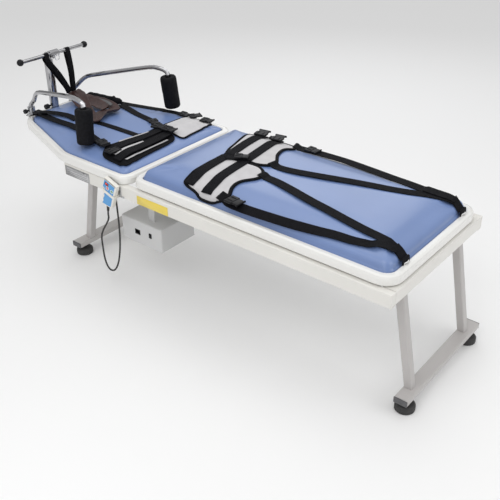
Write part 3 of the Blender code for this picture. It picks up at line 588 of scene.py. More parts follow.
LABEL_BLUE = gloss_plastic("blue_label", (0.075, 0.33, 0.7), 0.32, 0.01)
WHITE_INK = gloss_plastic("white_ring", (0.85, 0.85, 0.84), 0.35, 0.01)
WEBBING = webbing("black_webbing", (0.0045, 0.0045, 0.0062))
BINDING = cloth("black_binding", (0.005, 0.005, 0.0065), 0.72, 1400.0, 0.12)
WHITE_CLOTH = cloth("white_cloth", (0.62, 0.61, 0.62))
LEATHER = leather("brown_leather", (0.045, 0.021, 0.019))
FOAM = foam("black_foam")
PLATE = metal("blank_plate", (0.6, 0.6, 0.61), 0.34)
YELLOW = gloss_plastic("yellow_label", (0.85, 0.66, 0.1), 0.4, 0.01)


def finish_nodes():
    looks = {
        "frame_paint": FRAME_PAINT, "leg_paint": LEG_PAINT, "box_paint": BOX_PAINT,
        "board_shell": SHELL, "vinyl": VINYL, "chrome": CHROME, "zinc": ZINC,
        "black_plastic": BLACK_PLASTIC, "black_rubber": RUBBER, "black_foam": FOAM,
        "roller_nylon": NYLON, "handset_shell": HANDSET_PLASTIC, "display": DARK_WINDOW,
        "red_button": RED, "green_button": GREEN, "webbing": WEBBING, "leather": LEATHER,
    }
    slots = {row["node"]: row["material_slot"] for row in frame["record"]["subparts"]}
    for name, node in NODES.items():
        node.data.materials.clear()
        node.data.materials.append(looks[slots[name]])


# ---- camera, light and floor
def build_camera():
    camera = bpy.data.cameras.new("camera")
    camera.lens = CAMERA_LENS
    camera.sensor_width = 36.0
    camera.dof.use_dof = False
    camera.clip_end = 30.0
    item = adopt("camera", camera)
    level = math.cos(CAMERA_DROP)
    east = -math.sin(CAMERA_AZIMUTH) * level
    north = math.cos(CAMERA_AZIMUTH) * level
    look = Vector((east, north, -math.sin(CAMERA_DROP)))
    item.location = CAMERA_PLACE
    item.rotation_euler = look.to_track_quat("-Z", "Y").to_euler()
    bpy.context.scene.camera = item


def area_light(name, where, aim, size, power, color=(1.0, 1.0, 1.0)):
    lamp = bpy.data.lights.new(name, "AREA")
    lamp.shape = "RECTANGLE"
    lamp.size, lamp.size_y = size
    lamp.energy = power
    lamp.color = color
    item = adopt(name, lamp)
    item.location = where
    item.rotation_euler = (Vector(aim) - Vector(where)).to_track_quat("-Z", "Y").to_euler()


def build_stage():
    bpy.context.scene.view_settings.view_transform = "Standard"
    shape = bmesh.new()
    bmesh.ops.create_grid(shape, x_segments=1, y_segments=1, size=12.0)
    look = Look("pale_floor", (0.93, 0.93, 0.93), 0.65)
    look.vary_color(look.noise(0.6), 0.995, 1.005)
    floor = link("floor", mesh_of("floor", shape), look.material, False)
    floor.location.z = -0.0002
    world = bpy.data.worlds.new("studio")
    world.use_nodes = True
    sky = world.node_tree
    background = sky.nodes["Background"]
    background.inputs["Strength"].default_value = 1.0
    where = sky.nodes.new("ShaderNodeTexCoord")
    split = sky.nodes.new("ShaderNodeSeparateXYZ")
    ramp = sky.nodes.new("ShaderNodeValToRGB")
    stops = ramp.color_ramp.elements
    stops.new(0.55)
    for element, (height, level) in zip(stops, ((0.0, 0.22), (0.55, 0.56), (1.0, 1.0))):
        element.position = height
        element.color = (level, level, level, 1.0)
    sky.links.new(where.outputs["Generated"], split.inputs["Vector"])
    sky.links.new(split.outputs["Z"], ramp.inputs["Fac"])
    sky.links.new(ramp.outputs["Color"], background.inputs["Color"])
    bpy.context.scene.world = world
    area_light("key", (0.6, -2.2, 2.9), (0.0, 0.0, 0.4), (2.4, 1.6), 22.0)
    area_light("fill", (0.9, -3.2, 1.2), (0.3, -0.3, 0.5), (3.0, 1.4), 12.0)
    area_light("back", (-1.3, 2.6, 2.1), (0.3, 0.0, 0.5), (2.2, 1.4), 11.0, (0.97, 0.98, 1.0))
    area_light("top", (-0.4, 0.6, 3.0), (0.1, 0.0, 0.5), (2.6, 1.4), 10.0)
    area_light("side", (3.2, 0.6, 1.6), (0.4, 0.0, 0.4), (1.6, 1.6), 14.0)


# ---- cord
def build_cord():
    exit_point = Vector((*GROMMET, RAIL_BOTTOM - 2 * GAP - GROMMET_LENGTH))
    down = Vector((math.sin(RELIEF_TURN), 0.0, -math.cos(RELIEF_TURN)))
    relief = Vector((RELIEF_START.x, 0.0, RELIEF_START.y - GAP)) + down * (RELIEF_LENGTH + GAP)
    tilt = Matrix.Rotation(HANDSET_TILT, 4, "Y")
    entry = HANDSET + tilt @ relief
    lead = tilt @ down
    route = [exit_point, *(Vector(p) for p in CORD_ROUTE)]
    route += [entry + lead * 0.045, entry + lead * 0.015, entry]
    line = [BED + p for p in curve_through(route, 3)]
    curve = bpy.data.curves.new("handset_lead", "CURVE")
    curve.dimensions = "3D"
    curve.bevel_depth = CORD_RADIUS
    curve.bevel_resolution = 4
    curve.use_fill_caps = True
    spline = curve.splines.new("POLY")
    spline.points.add(len(line) - 1)
    for point, spot in zip(spline.points, line):
        point.co = (*spot, 1.0)
    curve.materials.append(RUBBER)
    item = adopt("handset_lead", curve)
    mount(item, "frame")
    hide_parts("handset_cord")


# ---- cushions
def build_cushion(name, node, corners, board_z, edge, body, cuts=()):
    """The upholstered pad of a board: a crowned body, swollen as cloth inside its tray."""
    side = RIM_WIDTH + 0.0012
    low = board_z + BOARD_FLOOR + GAP
    rim = board_z + BOARD_THICKNESS
    levels = [(side, low), (side, rim - 0.004)]
    levels += [(side + inset, rim + height) for inset, height in edge]
    rings = [
        [(*(p + BED.xy), height) for p in rounded_polygon(corners, inset, 8)]
        for inset, height in levels
    ]
    item = link(name, loft(name, rings), VINYL)
    remesh(item, CUSHION_VOXEL)
    for x, y, radius in cuts:
        profile = [(0.0, 0.0), (radius, 0.0), (radius, 0.3), (0.0, 0.3)]
        cutter = shift(turned(f"{name}_cut", profile, None), x + BED.x, y + BED.y, board_z - 0.05)
        cut = item.modifiers.new("cut", "BOOLEAN")
        cut.object = cutter
        cut.solver = "EXACT"
        apply_modifiers(item)
        bpy.data.objects.remove(cutter)
    smooth_surface(item, CUSHION_SMOOTHING)
    swell(item, rim + 0.001)
    for face in item.data.polygons:
        face.use_smooth = True
    mount(item, body)
    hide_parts(node)
    return item


def smooth_surface(item, rounds):
    smooth = item.modifiers.new("smooth", "SMOOTH")
    smooth.factor = 0.5
    smooth.iterations = rounds
    apply_modifiers(item)


def swell(item, pinned_below, pressure=4.0, frames=20):
    """Cloth with pressure: points below a height are held, and none moves past the cap."""
    start = [v.co.copy() for v in item.data.vertices]
    group = item.vertex_groups.new(name="held")
    held = [i for i, co in enumerate(start) if co.z < pinned_below]
    group.add(held, 1.0, "REPLACE")
    pillow = item.modifiers.new("cloth", "CLOTH")
    settings = pillow.settings
    settings.quality = 5
    settings.mass = 0.3
    settings.use_pressure = True
    settings.uniform_pressure_force = pressure
    settings.effector_weights.gravity = 0.0
    settings.vertex_group_mass = "held"
    settings.tension_stiffness = 15.0
    settings.compression_stiffness = 15.0
    settings.bending_stiffness = 0.4
    pillow.collision_settings.use_collision = False
    scene = bpy.context.scene
    pillow.point_cache.frame_start = 1
    pillow.point_cache.frame_end = frames
    for number in range(1, frames + 1):
        scene.frame_set(number)
    apply_modifiers(item)
    scene.frame_set(1)
    for vertex, before in zip(item.data.vertices, start):
        move = vertex.co - before
        if move.length > SWELL_CAP:
            vertex.co = before + move.normalized() * SWELL_CAP
    item.vertex_groups.clear()


def tree_of(items):
    """A search tree over the shown shape of several pieces."""
    vertices, faces = [], []
    for item in items:
        start = len(vertices)
        matrix = item.matrix_world
        vertices.extend(matrix @ v.co for v in item.data.vertices)
        faces.extend([start + i for i in face.vertices] for face in item.data.polygons)
    return BVHTree.FromPolygons(vertices, faces)


class Ground:
    """What the soft pieces of one body lie on: its height in the bed's own x and y."""

    def __init__(self, body, items):
        self.body = body
        self.items = list(items)
        self.tree = tree_of(self.items)

    def add(self, *items):
        self.items.extend(items)
        self.tree = tree_of(self.items)

    def height(self, x, y):
        start = Vector((x + BED.x, y + BED.y, ABOVE_ALL))
        hit = self.tree.ray_cast(start, Vector((0.0, 0.0, -1.0)))
        return hit[0].z if hit[0] else BELOW_BOARDS


# ---- straps, buckles and panels
def tape_coordinates(mesh, rings):
    """Stores each point's place along and across the strap, in metres, for the weave."""
    attribute = mesh.attributes.new("tape", "FLOAT_VECTOR", "POINT")
    values = []
    along = 0.0
    for i, ring in enumerate(rings):
        if i:
            along += (ring[0] - rings[i - 1][0]).length
        for point in ring:
            values.extend((along, (point - ring[0]).length, 0.0))
    attribute.data.foreach_set("vector", values)


def ribbon(name, line, ups, width, thickness, body, material=None):
    """A strap along a line in the row frame."""
    section = band_section(width, thickness)
    rings = [
        [here + side * u + up * v for u, v in section]
        for here, side, up in frames_along(line, ups)
    ]
    mesh = loft(name, rings)
    tape_coordinates(mesh, rings)
    item = link(name, mesh, material or WEBBING)
    if body:
        mount(item, body)
    return item


def spread(directions, count):
    """As many directions as asked for, blended evenly from a few."""
    spread_out = []
    for i in range(count):
        share = (len(directions) - 1) * i / (count - 1)
        k = min(int(share), len(directions) - 2)
        spread_out.append(Vector(directions[k]).lerp(Vector(directions[k + 1]), share - k))
    return spread_out


def laid_line(points, ground, width, base=0.0008):
    """A smooth line over the ground through (x, y[, lift]) points of the bed, in the row frame."""
    spots = [(*p, 0.0)[:3] for p in points]
    line = evenly(curve_through(spots, 8), STRAP_SPACING)
    heights = []
    for i, p in enumerate(line):
        along = line[min(i + 1, len(line) - 1)] - line[max(i - 1, 0)]
        side = Vector((-along.y, along.x)).normalized() * (width / 2)
        across = (-1.0, -0.5, 0.0, 0.5, 1.0)
        heights.append(max(ground.height(p.x + side.x * s, p.y + side.y * s) for s in across))
    laid = []
    for i, p in enumerate(line):
        window = heights[max(0, i - 1) : i + 2]
        height = max(sum(window) / len(window), heights[i])
        laid.append(Vector((p.x + BED.x, p.y + BED.y, height + p.z + base)))
    return laid


def strap(name, width, thickness, ground, *points, material=None):
    """A strap laid over the ground through (x, y[, lift]) points."""
    line = laid_line(points, ground, width)
    return ribbon(name, line, (0.0, 0.0, 1.0), width, thickness, ground.body, material)


def buckle(name, x, y, degrees, width, ground, lift=0.001, scale=1.0):
    """A side-release buckle: a body with two ridges, a tongue, and a bar."""
    ridge = (0.02 * scale, 0.0035, 0.003)
    parts = []
    for size, radius, segments, place_at in (
        ((0.03 * scale, width + 0.012, 0.0085), 0.003, 3, (0.0, 0.0, 0.0)),
        ((0.02 * scale, width + 0.004, 0.0065), 0.0025, 3, (0.024 * scale, 0.0, -0.0004)),
        ((0.006, width + 0.012, 0.0075), 0.0025, 3, (0.036 * scale, 0.0, 0.0)),
        (ridge, 0.0012, 2, (0.0, width * 0.28, 0.0048)),
        (ridge, 0.0012, 2, (0.0, -width * 0.28, 0.0048)),
    ):
        parts.append(shift(block(name, size, BLACK_PLASTIC, radius, segments), *place_at))
    item = joined(name, parts)
    around = (-0.012, 0.0, 0.012)
    z = max(ground.height(x + dx, y + dy) for dx in around for dy in around)
    item.data.transform(Matrix.Rotation(math.radians(degrees), 4, "Z"))
    return put(item, x, y, z + lift + 0.0043, ground.body)


def flat_shape(name, loops, depth, material, smooth=False, merge=0.000005):
    """A plate from closed 2-D loops, the first one outer and the others holes."""
    curve = bpy.data.curves.new(name, "CURVE")
    curve.dimensions = "2D"
    curve.fill_mode = "BOTH"
    curve.extrude = depth / 2
    for loop in loops:
        spline = curve.splines.new("POLY")
        spline.points.add(len(loop) - 1)
        for point, spot in zip(spline.points, loop):
            point.co = (spot[0], spot[1], 0.0, 1.0)
        spline.use_cyclic_u = True
    source = adopt(name, curve)
    graph = bpy.context.evaluated_depsgraph_get()
    mesh = bpy.data.meshes.new_from_object(source.evaluated_get(graph))
    bpy.data.objects.remove(source)
    shape = bmesh.new()
    shape.from_mesh(mesh)
    bmesh.ops.remove_doubles(shape, verts=shape.verts, dist=merge)
    return link(name, mesh_of(name, shape), material, smooth)


def laid_on(ground, p, height):
    """The point p of the bed at a height over the ground, in the row frame."""
    return Vector((p.x + BED.x, p.y + BED.y, ground.height(p.x, p.y) + height))


def padded_panel(name, outline, thickness, ground, material):
    """A thin stuffed panel cut to a smooth outline and laid on the ground."""
    loop = evenly(curve_through([(*p, 0.0) for p in outline], 6, True), 0.005, True)
    item = flat_shape(name, [loop], thickness, material, True, 0.00001)
    remesh(item, PANEL_VOXEL)
    smooth_surface(item, 4)
    half = thickness / 2
    for vertex in item.data.vertices:
        rise = PANEL_LIFT + max(0.0, min(thickness, vertex.co.z + half))
        vertex.co = laid_on(ground, vertex.co, rise)
    return mount(item, ground.body), loop


def bound_edge(name, loop, radius, ground, height):
    """The folded binding tape around a panel's edge."""
    line = [laid_on(ground, p, height) for p in loop]
    frames = frames_along(line, (0.0, 0.0, 1.0), True)
    item = link(name, sweep(name, frames, round_section(radius, 10, 0.55), True), BINDING)
    return mount(item, ground.body)


PELVIC_NEAR = (
    (0.064, -0.222), (0.078, -0.251), (0.132, -0.261), (0.165, -0.266), (0.205, -0.266),
    (0.254, -0.259), (0.266, -0.24), (0.246, -0.196), (0.25, -0.15), (0.283, -0.096),
    (0.269, -0.052), (0.236, -0.028), (0.19, -0.026), (0.135, -0.032), (0.076, -0.034),
    (0.062, -0.06), (0.062, -0.14),
)
PELVIC_FAR = (
    (0.044, 0.026), (0.066, -0.004), (0.126, -0.01), (0.176, -0.01), (0.212, -0.008),
    (0.246, 0.012), (0.253, 0.047), (0.217, 0.104), (0.203, 0.159), (0.215, 0.207), (0.195, 0.24),
    (0.136, 0.246), (0.071, 0.246), (0.019, 0.241), (0.0, 0.2), (0.01, 0.15), (0.028, 0.087),
)
CHEST_NEAR = (
    (-0.396, -0.194), (-0.362, -0.243), (-0.313, -0.256), (-0.246, -0.256), (-0.234, -0.236),
    (-0.24, -0.12), (-0.246, -0.01), (-0.262, 0.04), (-0.315, 0.052), (-0.362, 0.042),
    (-0.362, -0.005), (-0.372, -0.11), (-0.384, -0.172),
)
CHEST_FAR = (
    (-0.362, 0.062), (-0.3, 0.064), (-0.243, 0.072), (-0.241, 0.12), (-0.245, 0.2), (-0.254, 0.262),
    (-0.3, 0.266), (-0.362, 0.262), (-0.372, 0.24), (-0.366, 0.16),
)


def build_pelvic_harness():
    ground = FOOT_GROUND
    near, near_loop = padded_panel("pelvic_pad_near", PELVIC_NEAR, 0.007, ground, WHITE_CLOTH)
    far, far_loop = padded_panel("pelvic_pad_far", PELVIC_FAR, 0.007, ground, WHITE_CLOTH)
    edge_near = bound_edge("pelvic_binding_near", near_loop, 0.0075, ground, 0.0046)
    edge_far = bound_edge("pelvic_binding_far", far_loop, 0.0072, ground, 0.0046)
    for item, node in ((near, "pelvic_harness_near"), (far, "pelvic_harness_far")):
        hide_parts(node)
    ground.add(near, far, edge_near, edge_far)
    first = strap(
        "pelvic_strap_a", 0.042, 0.0028, ground, (0.094, -0.256), (0.088, -0.17),
        (0.081, -0.048), (0.077, 0.006), (0.062, 0.114), (0.046, 0.242),
    )
    second = strap(
        "pelvic_strap_b", 0.042, 0.0028, ground, (0.182, -0.262), (0.173, -0.17),
        (0.164, -0.046), (0.159, -0.001), (0.144, 0.114), (0.122, 0.244),
    )
    ground.add(first, second)
    cross = strap(
        "pelvic_cross_strap", 0.034, 0.0024, ground,
        (0.09, -0.048), (0.114, -0.03), (0.141, -0.018), (0.172, 0.0),
    )
    ground.add(cross)
    buckle("pelvic_buckle_middle", 0.131, -0.022, 28, 0.026, ground)
    buckle("pelvic_buckle_far_a", 0.048, 0.22, 100, 0.04, ground)
    buckle("pelvic_buckle_far_b", 0.126, 0.222, 100, 0.038, ground)
    strap(
        "pelvic_tail_far", 0.024, 0.0022, ground,
        (0.078, 0.238, 0.004), (0.104, 0.242, 0.006), (0.13, 0.238, 0.004),
    )


def build_traction_straps():
    """The two straps of each half, which meet at a hook on the foot board's rim."""
    ground = FOOT_GROUND
    straight_routes = {
        "far_inner": (0.04, (
            (0.246, 0.03), (0.285, 0.024), (0.333, 0.026, 0.002), (0.404, 0.042, 0.003),
            (0.493, 0.068, 0.003), (0.558, 0.089, 0.002), (0.624, 0.108, 0.001), (0.689, 0.126),
            (0.751, 0.147), (0.8, 0.168), (0.85, 0.188), (0.893, 0.206),
        )),
        "near_inner": (0.04, (
            (0.272, -0.07), (0.3, -0.071), (0.35, -0.078, 0.002), (0.421, -0.095, 0.003),
            (0.518, -0.12, 0.003), (0.604, -0.137, 0.002), (0.688, -0.155, 0.001), (0.768, -0.17),
            (0.84, -0.178), (0.893, -0.179),
        )),
        "far_outer": (0.043, (
            (0.2, 0.236), (0.235, 0.244), (0.3, 0.249, 0.002), (0.415, 0.248, 0.004),
            (0.489, 0.244, 0.003), (0.572, 0.234, 0.002), (0.658, 0.22, 0.001), (0.728, 0.209),
            (0.783, 0.201), (0.841, 0.203), (0.893, 0.212),
        )),
    }
    for name, (width, route) in straight_routes.items():
        ground.add(strap(f"traction_strap_{name}", width, 0.0024, ground, *route))
    # The near outer strap lies over the cushion's rounded edge, so it leans outwards
    near_outer = (
        (0.236, -0.252), (0.29, -0.26), (0.348, -0.262, 0.001), (0.439, -0.26, 0.002),
        (0.538, -0.254, 0.001), (0.627, -0.245, 0.001), (0.693, -0.235, 0.001), (0.76, -0.229),
        (0.818, -0.218), (0.867, -0.203), (0.893, -0.191),
    )
    line = laid_line(near_outer, ground, 0.014, 0.0016)
    leans = [(0.0, -0.42, 0.9)] * 3 + [(0.0, -0.2, 1.0), (0.0, 0.0, 1.0)]
    ups = spread(leans, len(line))
    item = ribbon("traction_strap_near_outer", line, ups, 0.037, 0.0024, ground.body)
    ground.add(item)
    buckle("lobe_buckle_far", 0.268, 0.247, -2, 0.034, ground)
    buckle("lobe_buckle_near", 0.296, -0.258, -4, 0.036, ground, -0.001, 1.15)
    for name, y in (("far", 0.21), ("near", -0.184)):
        drop = (
            (0.88, y, ground.height(0.88, y) + 0.0006),
            (0.9, y, ground.height(0.9, y) + 0.003),
            (0.913, y, ground.height(0.906, y) - 0.004),
            (0.9205, y, 0.527), (0.9222, y, 0.513), (0.9222, y, 0.505),
        )
        line = [p + BED for p in curve_through(drop, 5)]
        ribbon(f"strap_end_{name}", line, (0.3, 0.0, 1.0), 0.044, 0.003, ground.body)
        build_hook(f"strap_hook_{name}", y)


def build_hook(name, y):
    """A bent white wire hook on the rim that the strap's end loop hangs on."""
    half = [(0.9245, 0.013, 0.501), (0.9245, 0.013, 0.512), (0.9255, 0.011, 0.5158)]
    half.append((0.929, 0.004, 0.5175))
    points = [(x, y - out, z) for x, out, z in half]
    points += [(x, y + out, z) for x, out, z in reversed(half)]
    line = [p + BED for p in curve_through(points, 4)]
    frames = frames_along(line, (1.0, 0.0, 0.0))
    item = link(name, sweep(name, frames, round_section(0.002, 10)), WHITE_INK)
    mount(item, "foot_board")


def build_chest_harness():
    ground = HEAD_GROUND
    near, near_loop = padded_panel("chest_pad_near", CHEST_NEAR, 0.008, ground, BINDING)
    far, far_loop = padded_panel("chest_pad_far", CHEST_FAR, 0.007, ground, WHITE_CLOTH)
    edge_near = bound_edge("chest_binding_near", near_loop, 0.0062, ground, 0.0048)
    edge_far = bound_edge("chest_binding_far", far_loop, 0.005, ground, 0.0042)
    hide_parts("chest_harness")
    ground.add(near, far, edge_near, edge_far)
    strips = (
        ("head", 0.0075, ((-0.378, -0.15), (-0.366, -0.078), (-0.356, -0.005))),
        ("middle", 0.012, ((-0.317, -0.228), (-0.312, -0.15), (-0.305, -0.085))),
        ("foot", 0.01, ((-0.251, -0.232), (-0.254, -0.12), (-0.258, 0.002))),
    )
    laid = [
        strap(f"chest_strip_{name}", width, 0.0016, ground, *route, material=WHITE_CLOTH)
        for name, width, route in strips
    ]
    first = strap(
        "chest_strap_a", 0.036, 0.003, ground, (-0.35, -0.238), (-0.344, -0.15),
        (-0.334, -0.06), (-0.336, 0.036), (-0.34, 0.062),
    )
    second = strap(
        "chest_strap_b", 0.042, 0.003, ground, (-0.284, -0.252), (-0.281, -0.15),
        (-0.281, -0.06), (-0.288, 0.02), (-0.298, 0.06),
    )
    ground.add(first, second, *laid)
    buckle("chest_buckle_centre_a", -0.368, 0.052, 12, 0.036, ground)
    buckle("chest_buckle_centre_b", -0.308, 0.054, 4, 0.034, ground)
    buckle("chest_buckle_near", -0.336, -0.232, 85, 0.032, ground)
    buckle("chest_buckle_far_a", -0.35, 0.252, 60, 0.03, ground)
    buckle("chest_buckle_far_b", -0.285, 0.256, 10, 0.03, ground)
    build_shoulder_straps(ground)


def build_shoulder_straps(ground):
    strap(
        "shoulder_strap_inner_far", 0.034, 0.0024, ground, (-0.69, 0.15, 0.004),
        (-0.62, 0.134, 0.002), (-0.548, 0.116), (-0.47, 0.104), (-0.41, 0.088), (-0.368, 0.066),
    )
    buckle("shoulder_buckle_far", -0.436, 0.098, -25, 0.03, ground)
    strap(
        "shoulder_strap_inner_near", 0.03, 0.0024, ground, (-0.64, -0.066, 0.003),
        (-0.59, -0.054), (-0.52, -0.05), (-0.44, -0.049), (-0.368, -0.048),
    )
    outer = strap(
        "shoulder_strap_outer_far", 0.03, 0.0024, ground, (-0.76, 0.176, 0.004),
        (-0.69, 0.196, 0.002), (-0.61, 0.224), (-0.53, 0.244), (-0.44, 0.258), (-0.385, 0.256),
    )
    ground.add(outer)
    buckle("shoulder_buckle_outer", -0.412, 0.254, 0, 0.03, ground)
    lower = strap(
        "shoulder_strap_near_low", 0.038, 0.0026, ground, (-0.944, -0.128), (-0.9, -0.128),
        (-0.84, -0.136), (-0.77, -0.142), (-0.67, -0.143), (-0.56, -0.16), (-0.47, -0.183),
        (-0.385, -0.204),
    )
    ground.add(lower)
    strap(
        "shoulder_strap_near_high", 0.034, 0.0026, ground, (-0.94, -0.124, 0.002),
        (-0.885, -0.116, 0.005), (-0.82, -0.098, 0.006), (-0.76, -0.086, 0.004),
        (-0.7, -0.092, 0.001),
    )
    buckle("shoulder_buckle_near", -0.438, -0.19, -14, 0.034, ground)
    buckle("shoulder_buckle_ring", -0.92, -0.126, 4, 0.026, ground)


# ---- halter
def padded_roll(name, points, radius, flat, ground):
    """A stuffed cloth roll with round ends: its line is (x, y, height over the ground)."""
    line = evenly(curve_through(points, 8), 0.006)
    line = [laid_on(ground, p, p.z + radius * flat) for p in line]
    rings = []
    for i, (here, side, up) in enumerate(frames_along(line, (0.0, 0.0, 1.0))):
        end = min(i, len(line) - 1 - i) / 3.0
        size = radius * math.sqrt(max(0.06, 1.0 - max(0.0, 1.0 - end) ** 2))
        wobble = 1.0 + 0.05 * math.sin(i * 0.9) + 0.03 * math.sin(i * 2.3)
        section = round_section(size * wobble, 16, flat)
        rings.append([here + side * u + up * v for u, v in section])
    return mount(link(name, loft(name, rings), BINDING), ground.body)


def signed_power(value, power):
    return math.copysign(abs(value) ** power, value)


def band_outline(wide, thickness, count=20):
    """A leather band's section: dished, with rolled edges."""
    half = wide / 2
    section = []
    for k in range(count):
        angle = 2 * math.pi * k / count
        u = half * signed_power(math.cos(angle), 0.55)
        v = thickness / 2 * signed_power(math.sin(angle), 0.8)
        rolled = 1.0 + 0.55 * max(0.0, abs(u) / half - 0.78) / 0.22
        section.append((u, v * rolled + 0.1 * wide * (u / half) ** 2))
    return section


def leather_band(name, width, swelling, thickness, ups, *points):
    """A padded leather band: its line is (x, y, height over the ground), swelling widens it."""
    line = evenly(curve_through(points, 8), 0.005)
    row = [laid_on(HEAD_GROUND, p, p.z) for p in line]
    rings = []
    for i, (here, side, up) in enumerate(frames_along(row, spread(ups, len(row)))):
        wide = width + swelling(i / (len(row) - 1))
        section = band_outline(wide * (1.0 + 0.03 * math.sin(i * 0.7)), thickness)
        rings.append([here + side * u + up * v for u, v in section])
    return mount(link(name, loft(name, rings), LEATHER), "frame")


def build_halter():
    bands = [
        leather_band(
            "halter_nape_band", 0.04,
            lambda s: 0.03 * math.sin(math.pi * min(1.0, 0.25 + s)) ** 2, 0.007,
            [(0.35, -0.2, 1.0), (0.1, -0.35, 1.0), (0.0, -0.35, 1.0), (0.1, -0.25, 1.0)],
            (-0.93, 0.086, 0.042), (-0.885, 0.072, 0.03), (-0.82, 0.04, 0.016),
            (-0.75, 0.006, 0.012), (-0.68, -0.028, 0.012), (-0.612, -0.078, 0.01),
        ),
        leather_band(
            "halter_chin_band", 0.036, lambda s: 0.024 * math.sin(math.pi * s) ** 2, 0.007,
            [(0.2, 0.1, 1.0), (-0.1, -0.2, 1.0), (0.0, -0.45, 1.0), (-0.1, -0.3, 1.0)],
            (-0.925, 0.092, 0.04), (-0.87, 0.076, 0.028), (-0.8, 0.076, 0.019),
            (-0.73, 0.086, 0.017), (-0.67, 0.088, 0.016), (-0.625, 0.07, 0.013),
        ),
        leather_band(
            "halter_cup", 0.05, lambda s: 0.018 * math.sin(math.pi * s), 0.008,
            [(-0.3, 0.0, 1.0), (-0.3, 0.0, 1.0), (-0.25, 0.0, 1.0)],
            (-0.63, 0.078, 0.013), (-0.64, 0.045, 0.014), (-0.648, 0.01, 0.014),
            (-0.632, -0.03, 0.012), (-0.606, -0.07, 0.01),
        ),
        leather_band(
            "halter_fold", 0.04, lambda s: 0.01 * math.sin(math.pi * s), 0.007,
            [(0.1, -0.5, 1.0), (0.0, -0.4, 1.0), (-0.1, -0.3, 1.0)],
            (-0.8, 0.06, 0.024), (-0.76, 0.056, 0.026), (-0.715, 0.052, 0.024),
            (-0.668, 0.046, 0.02),
        ),
    ]
    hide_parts("head_halter")
    roll = (
        (-0.905, 0.148, 0.012), (-0.85, 0.152, 0.01), (-0.79, 0.158, 0.007), (-0.705, 0.17, 0.003),
    )
    padded_roll("halter_side_roll", roll, 0.0185, 0.72, HEAD_GROUND)
    # Painted highlight: a grey strip over the leather where a pale band of light falls on it.
    strip = (
        (-0.792, 0.072, 0.5712), (-0.75, 0.078, 0.5722), (-0.7, 0.083, 0.57), (-0.668, 0.08, 0.564),
    )
    line = [p + BED for p in curve_through(strip, 6)]
    highlight_strip = ribbon("halter_highlight_strip", line, (0.0, -0.35, 1.0), 0.014, 0.0022, "frame", GREY_CAP)
    build_halter_straps()


def build_halter_straps():
    """The two webbing loops that hang the halter on the T-bar."""
    apex_z = 0.583
    reach = T_BAR_RADIUS + 0.0022
    bar_x, top_z = T_BAR.x, T_BAR.z
    for name, y, apex_y in (("near", -0.041, 0.062), ("far", 0.073, 0.086)):
        # Each point: (x, share of the way from the apex to the bar, height)
        points = (
            (-0.922, 0.0, apex_z - 0.012), (-0.917, 0.15, apex_z + 0.022),
            (-0.909, 0.55, apex_z + 0.09), (-0.9085, 1.0, top_z - 0.022),
            (bar_x + reach, 1.0, top_z), (bar_x + reach * 0.7, 1.0, top_z + reach * 0.72),
            (bar_x, 1.0, top_z + reach), (bar_x - reach * 0.7, 1.0, top_z + reach * 0.72),
            (bar_x - reach, 1.0, top_z), (bar_x - reach + 0.002, 1.0, top_z - 0.024),
            (-0.925, 0.58, apex_z + 0.085), (-0.931, 0.15, apex_z + 0.02),
            (-0.933, 0.0, apex_z - 0.014),
        )
        route = [(x, apex_y * (1 - share) + y * share, z) for x, share, z in points]
        line = [p + BED for p in evenly(curve_through(route, 10), 0.0035)]
        ups = []
        for i in range(len(line)):
            along = (line[min(i + 1, len(line) - 1)] - line[max(i - 1, 0)]).normalized()
            ups.append(along.cross(Vector((0.0, 1.0, 0.0))))
        item = ribbon(f"halter_strap_{name}", line, ups, 0.022, 0.002, None)
        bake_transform(item)


# ---- foam sleeves
def foam_profile(half):
    """The sleeve's (radius, height) outline, from its bore over the ripples and back."""
    radius = 0.035
    bore = 0.0097 + 0.0016
    body = half - 0.006
    profile = [
        (bore, half - 0.004), (bore + 0.002, half - 0.0008), (radius - 0.008, half),
        (radius - 0.003, half - 0.0016), (radius - 0.0006, body),
    ]
    for k in range(1, 12):
        share = k / 12
        ripple = 0.0003 * math.sin(7.0 * share) + 0.0002 * math.sin(19.0 * share)
        profile.append((radius + ripple, body - share * 2 * body))
    profile += [
        (radius - 0.0006, -body), (radius - 0.003, -half + 0.0018),
        (radius - 0.009, -half + 0.0002), (0.0, -half), (0.0, -half + 0.012),
        (bore, -half + 0.012), (bore, half - 0.004),
    ]
    return profile


def build_arm_pads():
    """Black foam sleeves on the padded bars."""
    pivot = Vector((-0.98, 0.114, 0.0))
    far_ends = (Vector((-0.5022, 0.268, 0.678)), Vector((-0.4955, 0.2825, 0.5385)))
    for name, side, swing in (("near", -1, math.radians(-6.0)), ("far", 1, 0.0)):
        turn = Matrix.Rotation(swing, 3, "Z")
        ends = []
        for spot in far_ends:
            p = pivot + turn @ (spot - pivot)
            ends.append(Vector((p.x, side * p.y, p.z)) + BED)
        top, bottom = ends
        along = top - bottom
        item = turned(f"foam_pad_{name}", foam_profile(along.length / 2), FOAM, 40)
        lean = along.to_track_quat("Z", "Y").to_matrix().to_4x4()
        item.data.transform(Matrix.Translation((top + bottom) / 2) @ lean)
        mount(item, f"arm_{name}")
        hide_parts(f"arm_pad_{name}")


# ---- fittings
def build_bar_caps():
    for end, x in (("head", -0.575), ("foot", 1.005)):
        for side, y in (("near", -0.2703), ("far", 0.2703)):
            cap = block(f"bar_cap_{end}_{side}", (0.0495, 0.004, 0.0225), GREY_CAP, 0.0015, 3)
            put(cap, x, y, 0.0555, "frame")


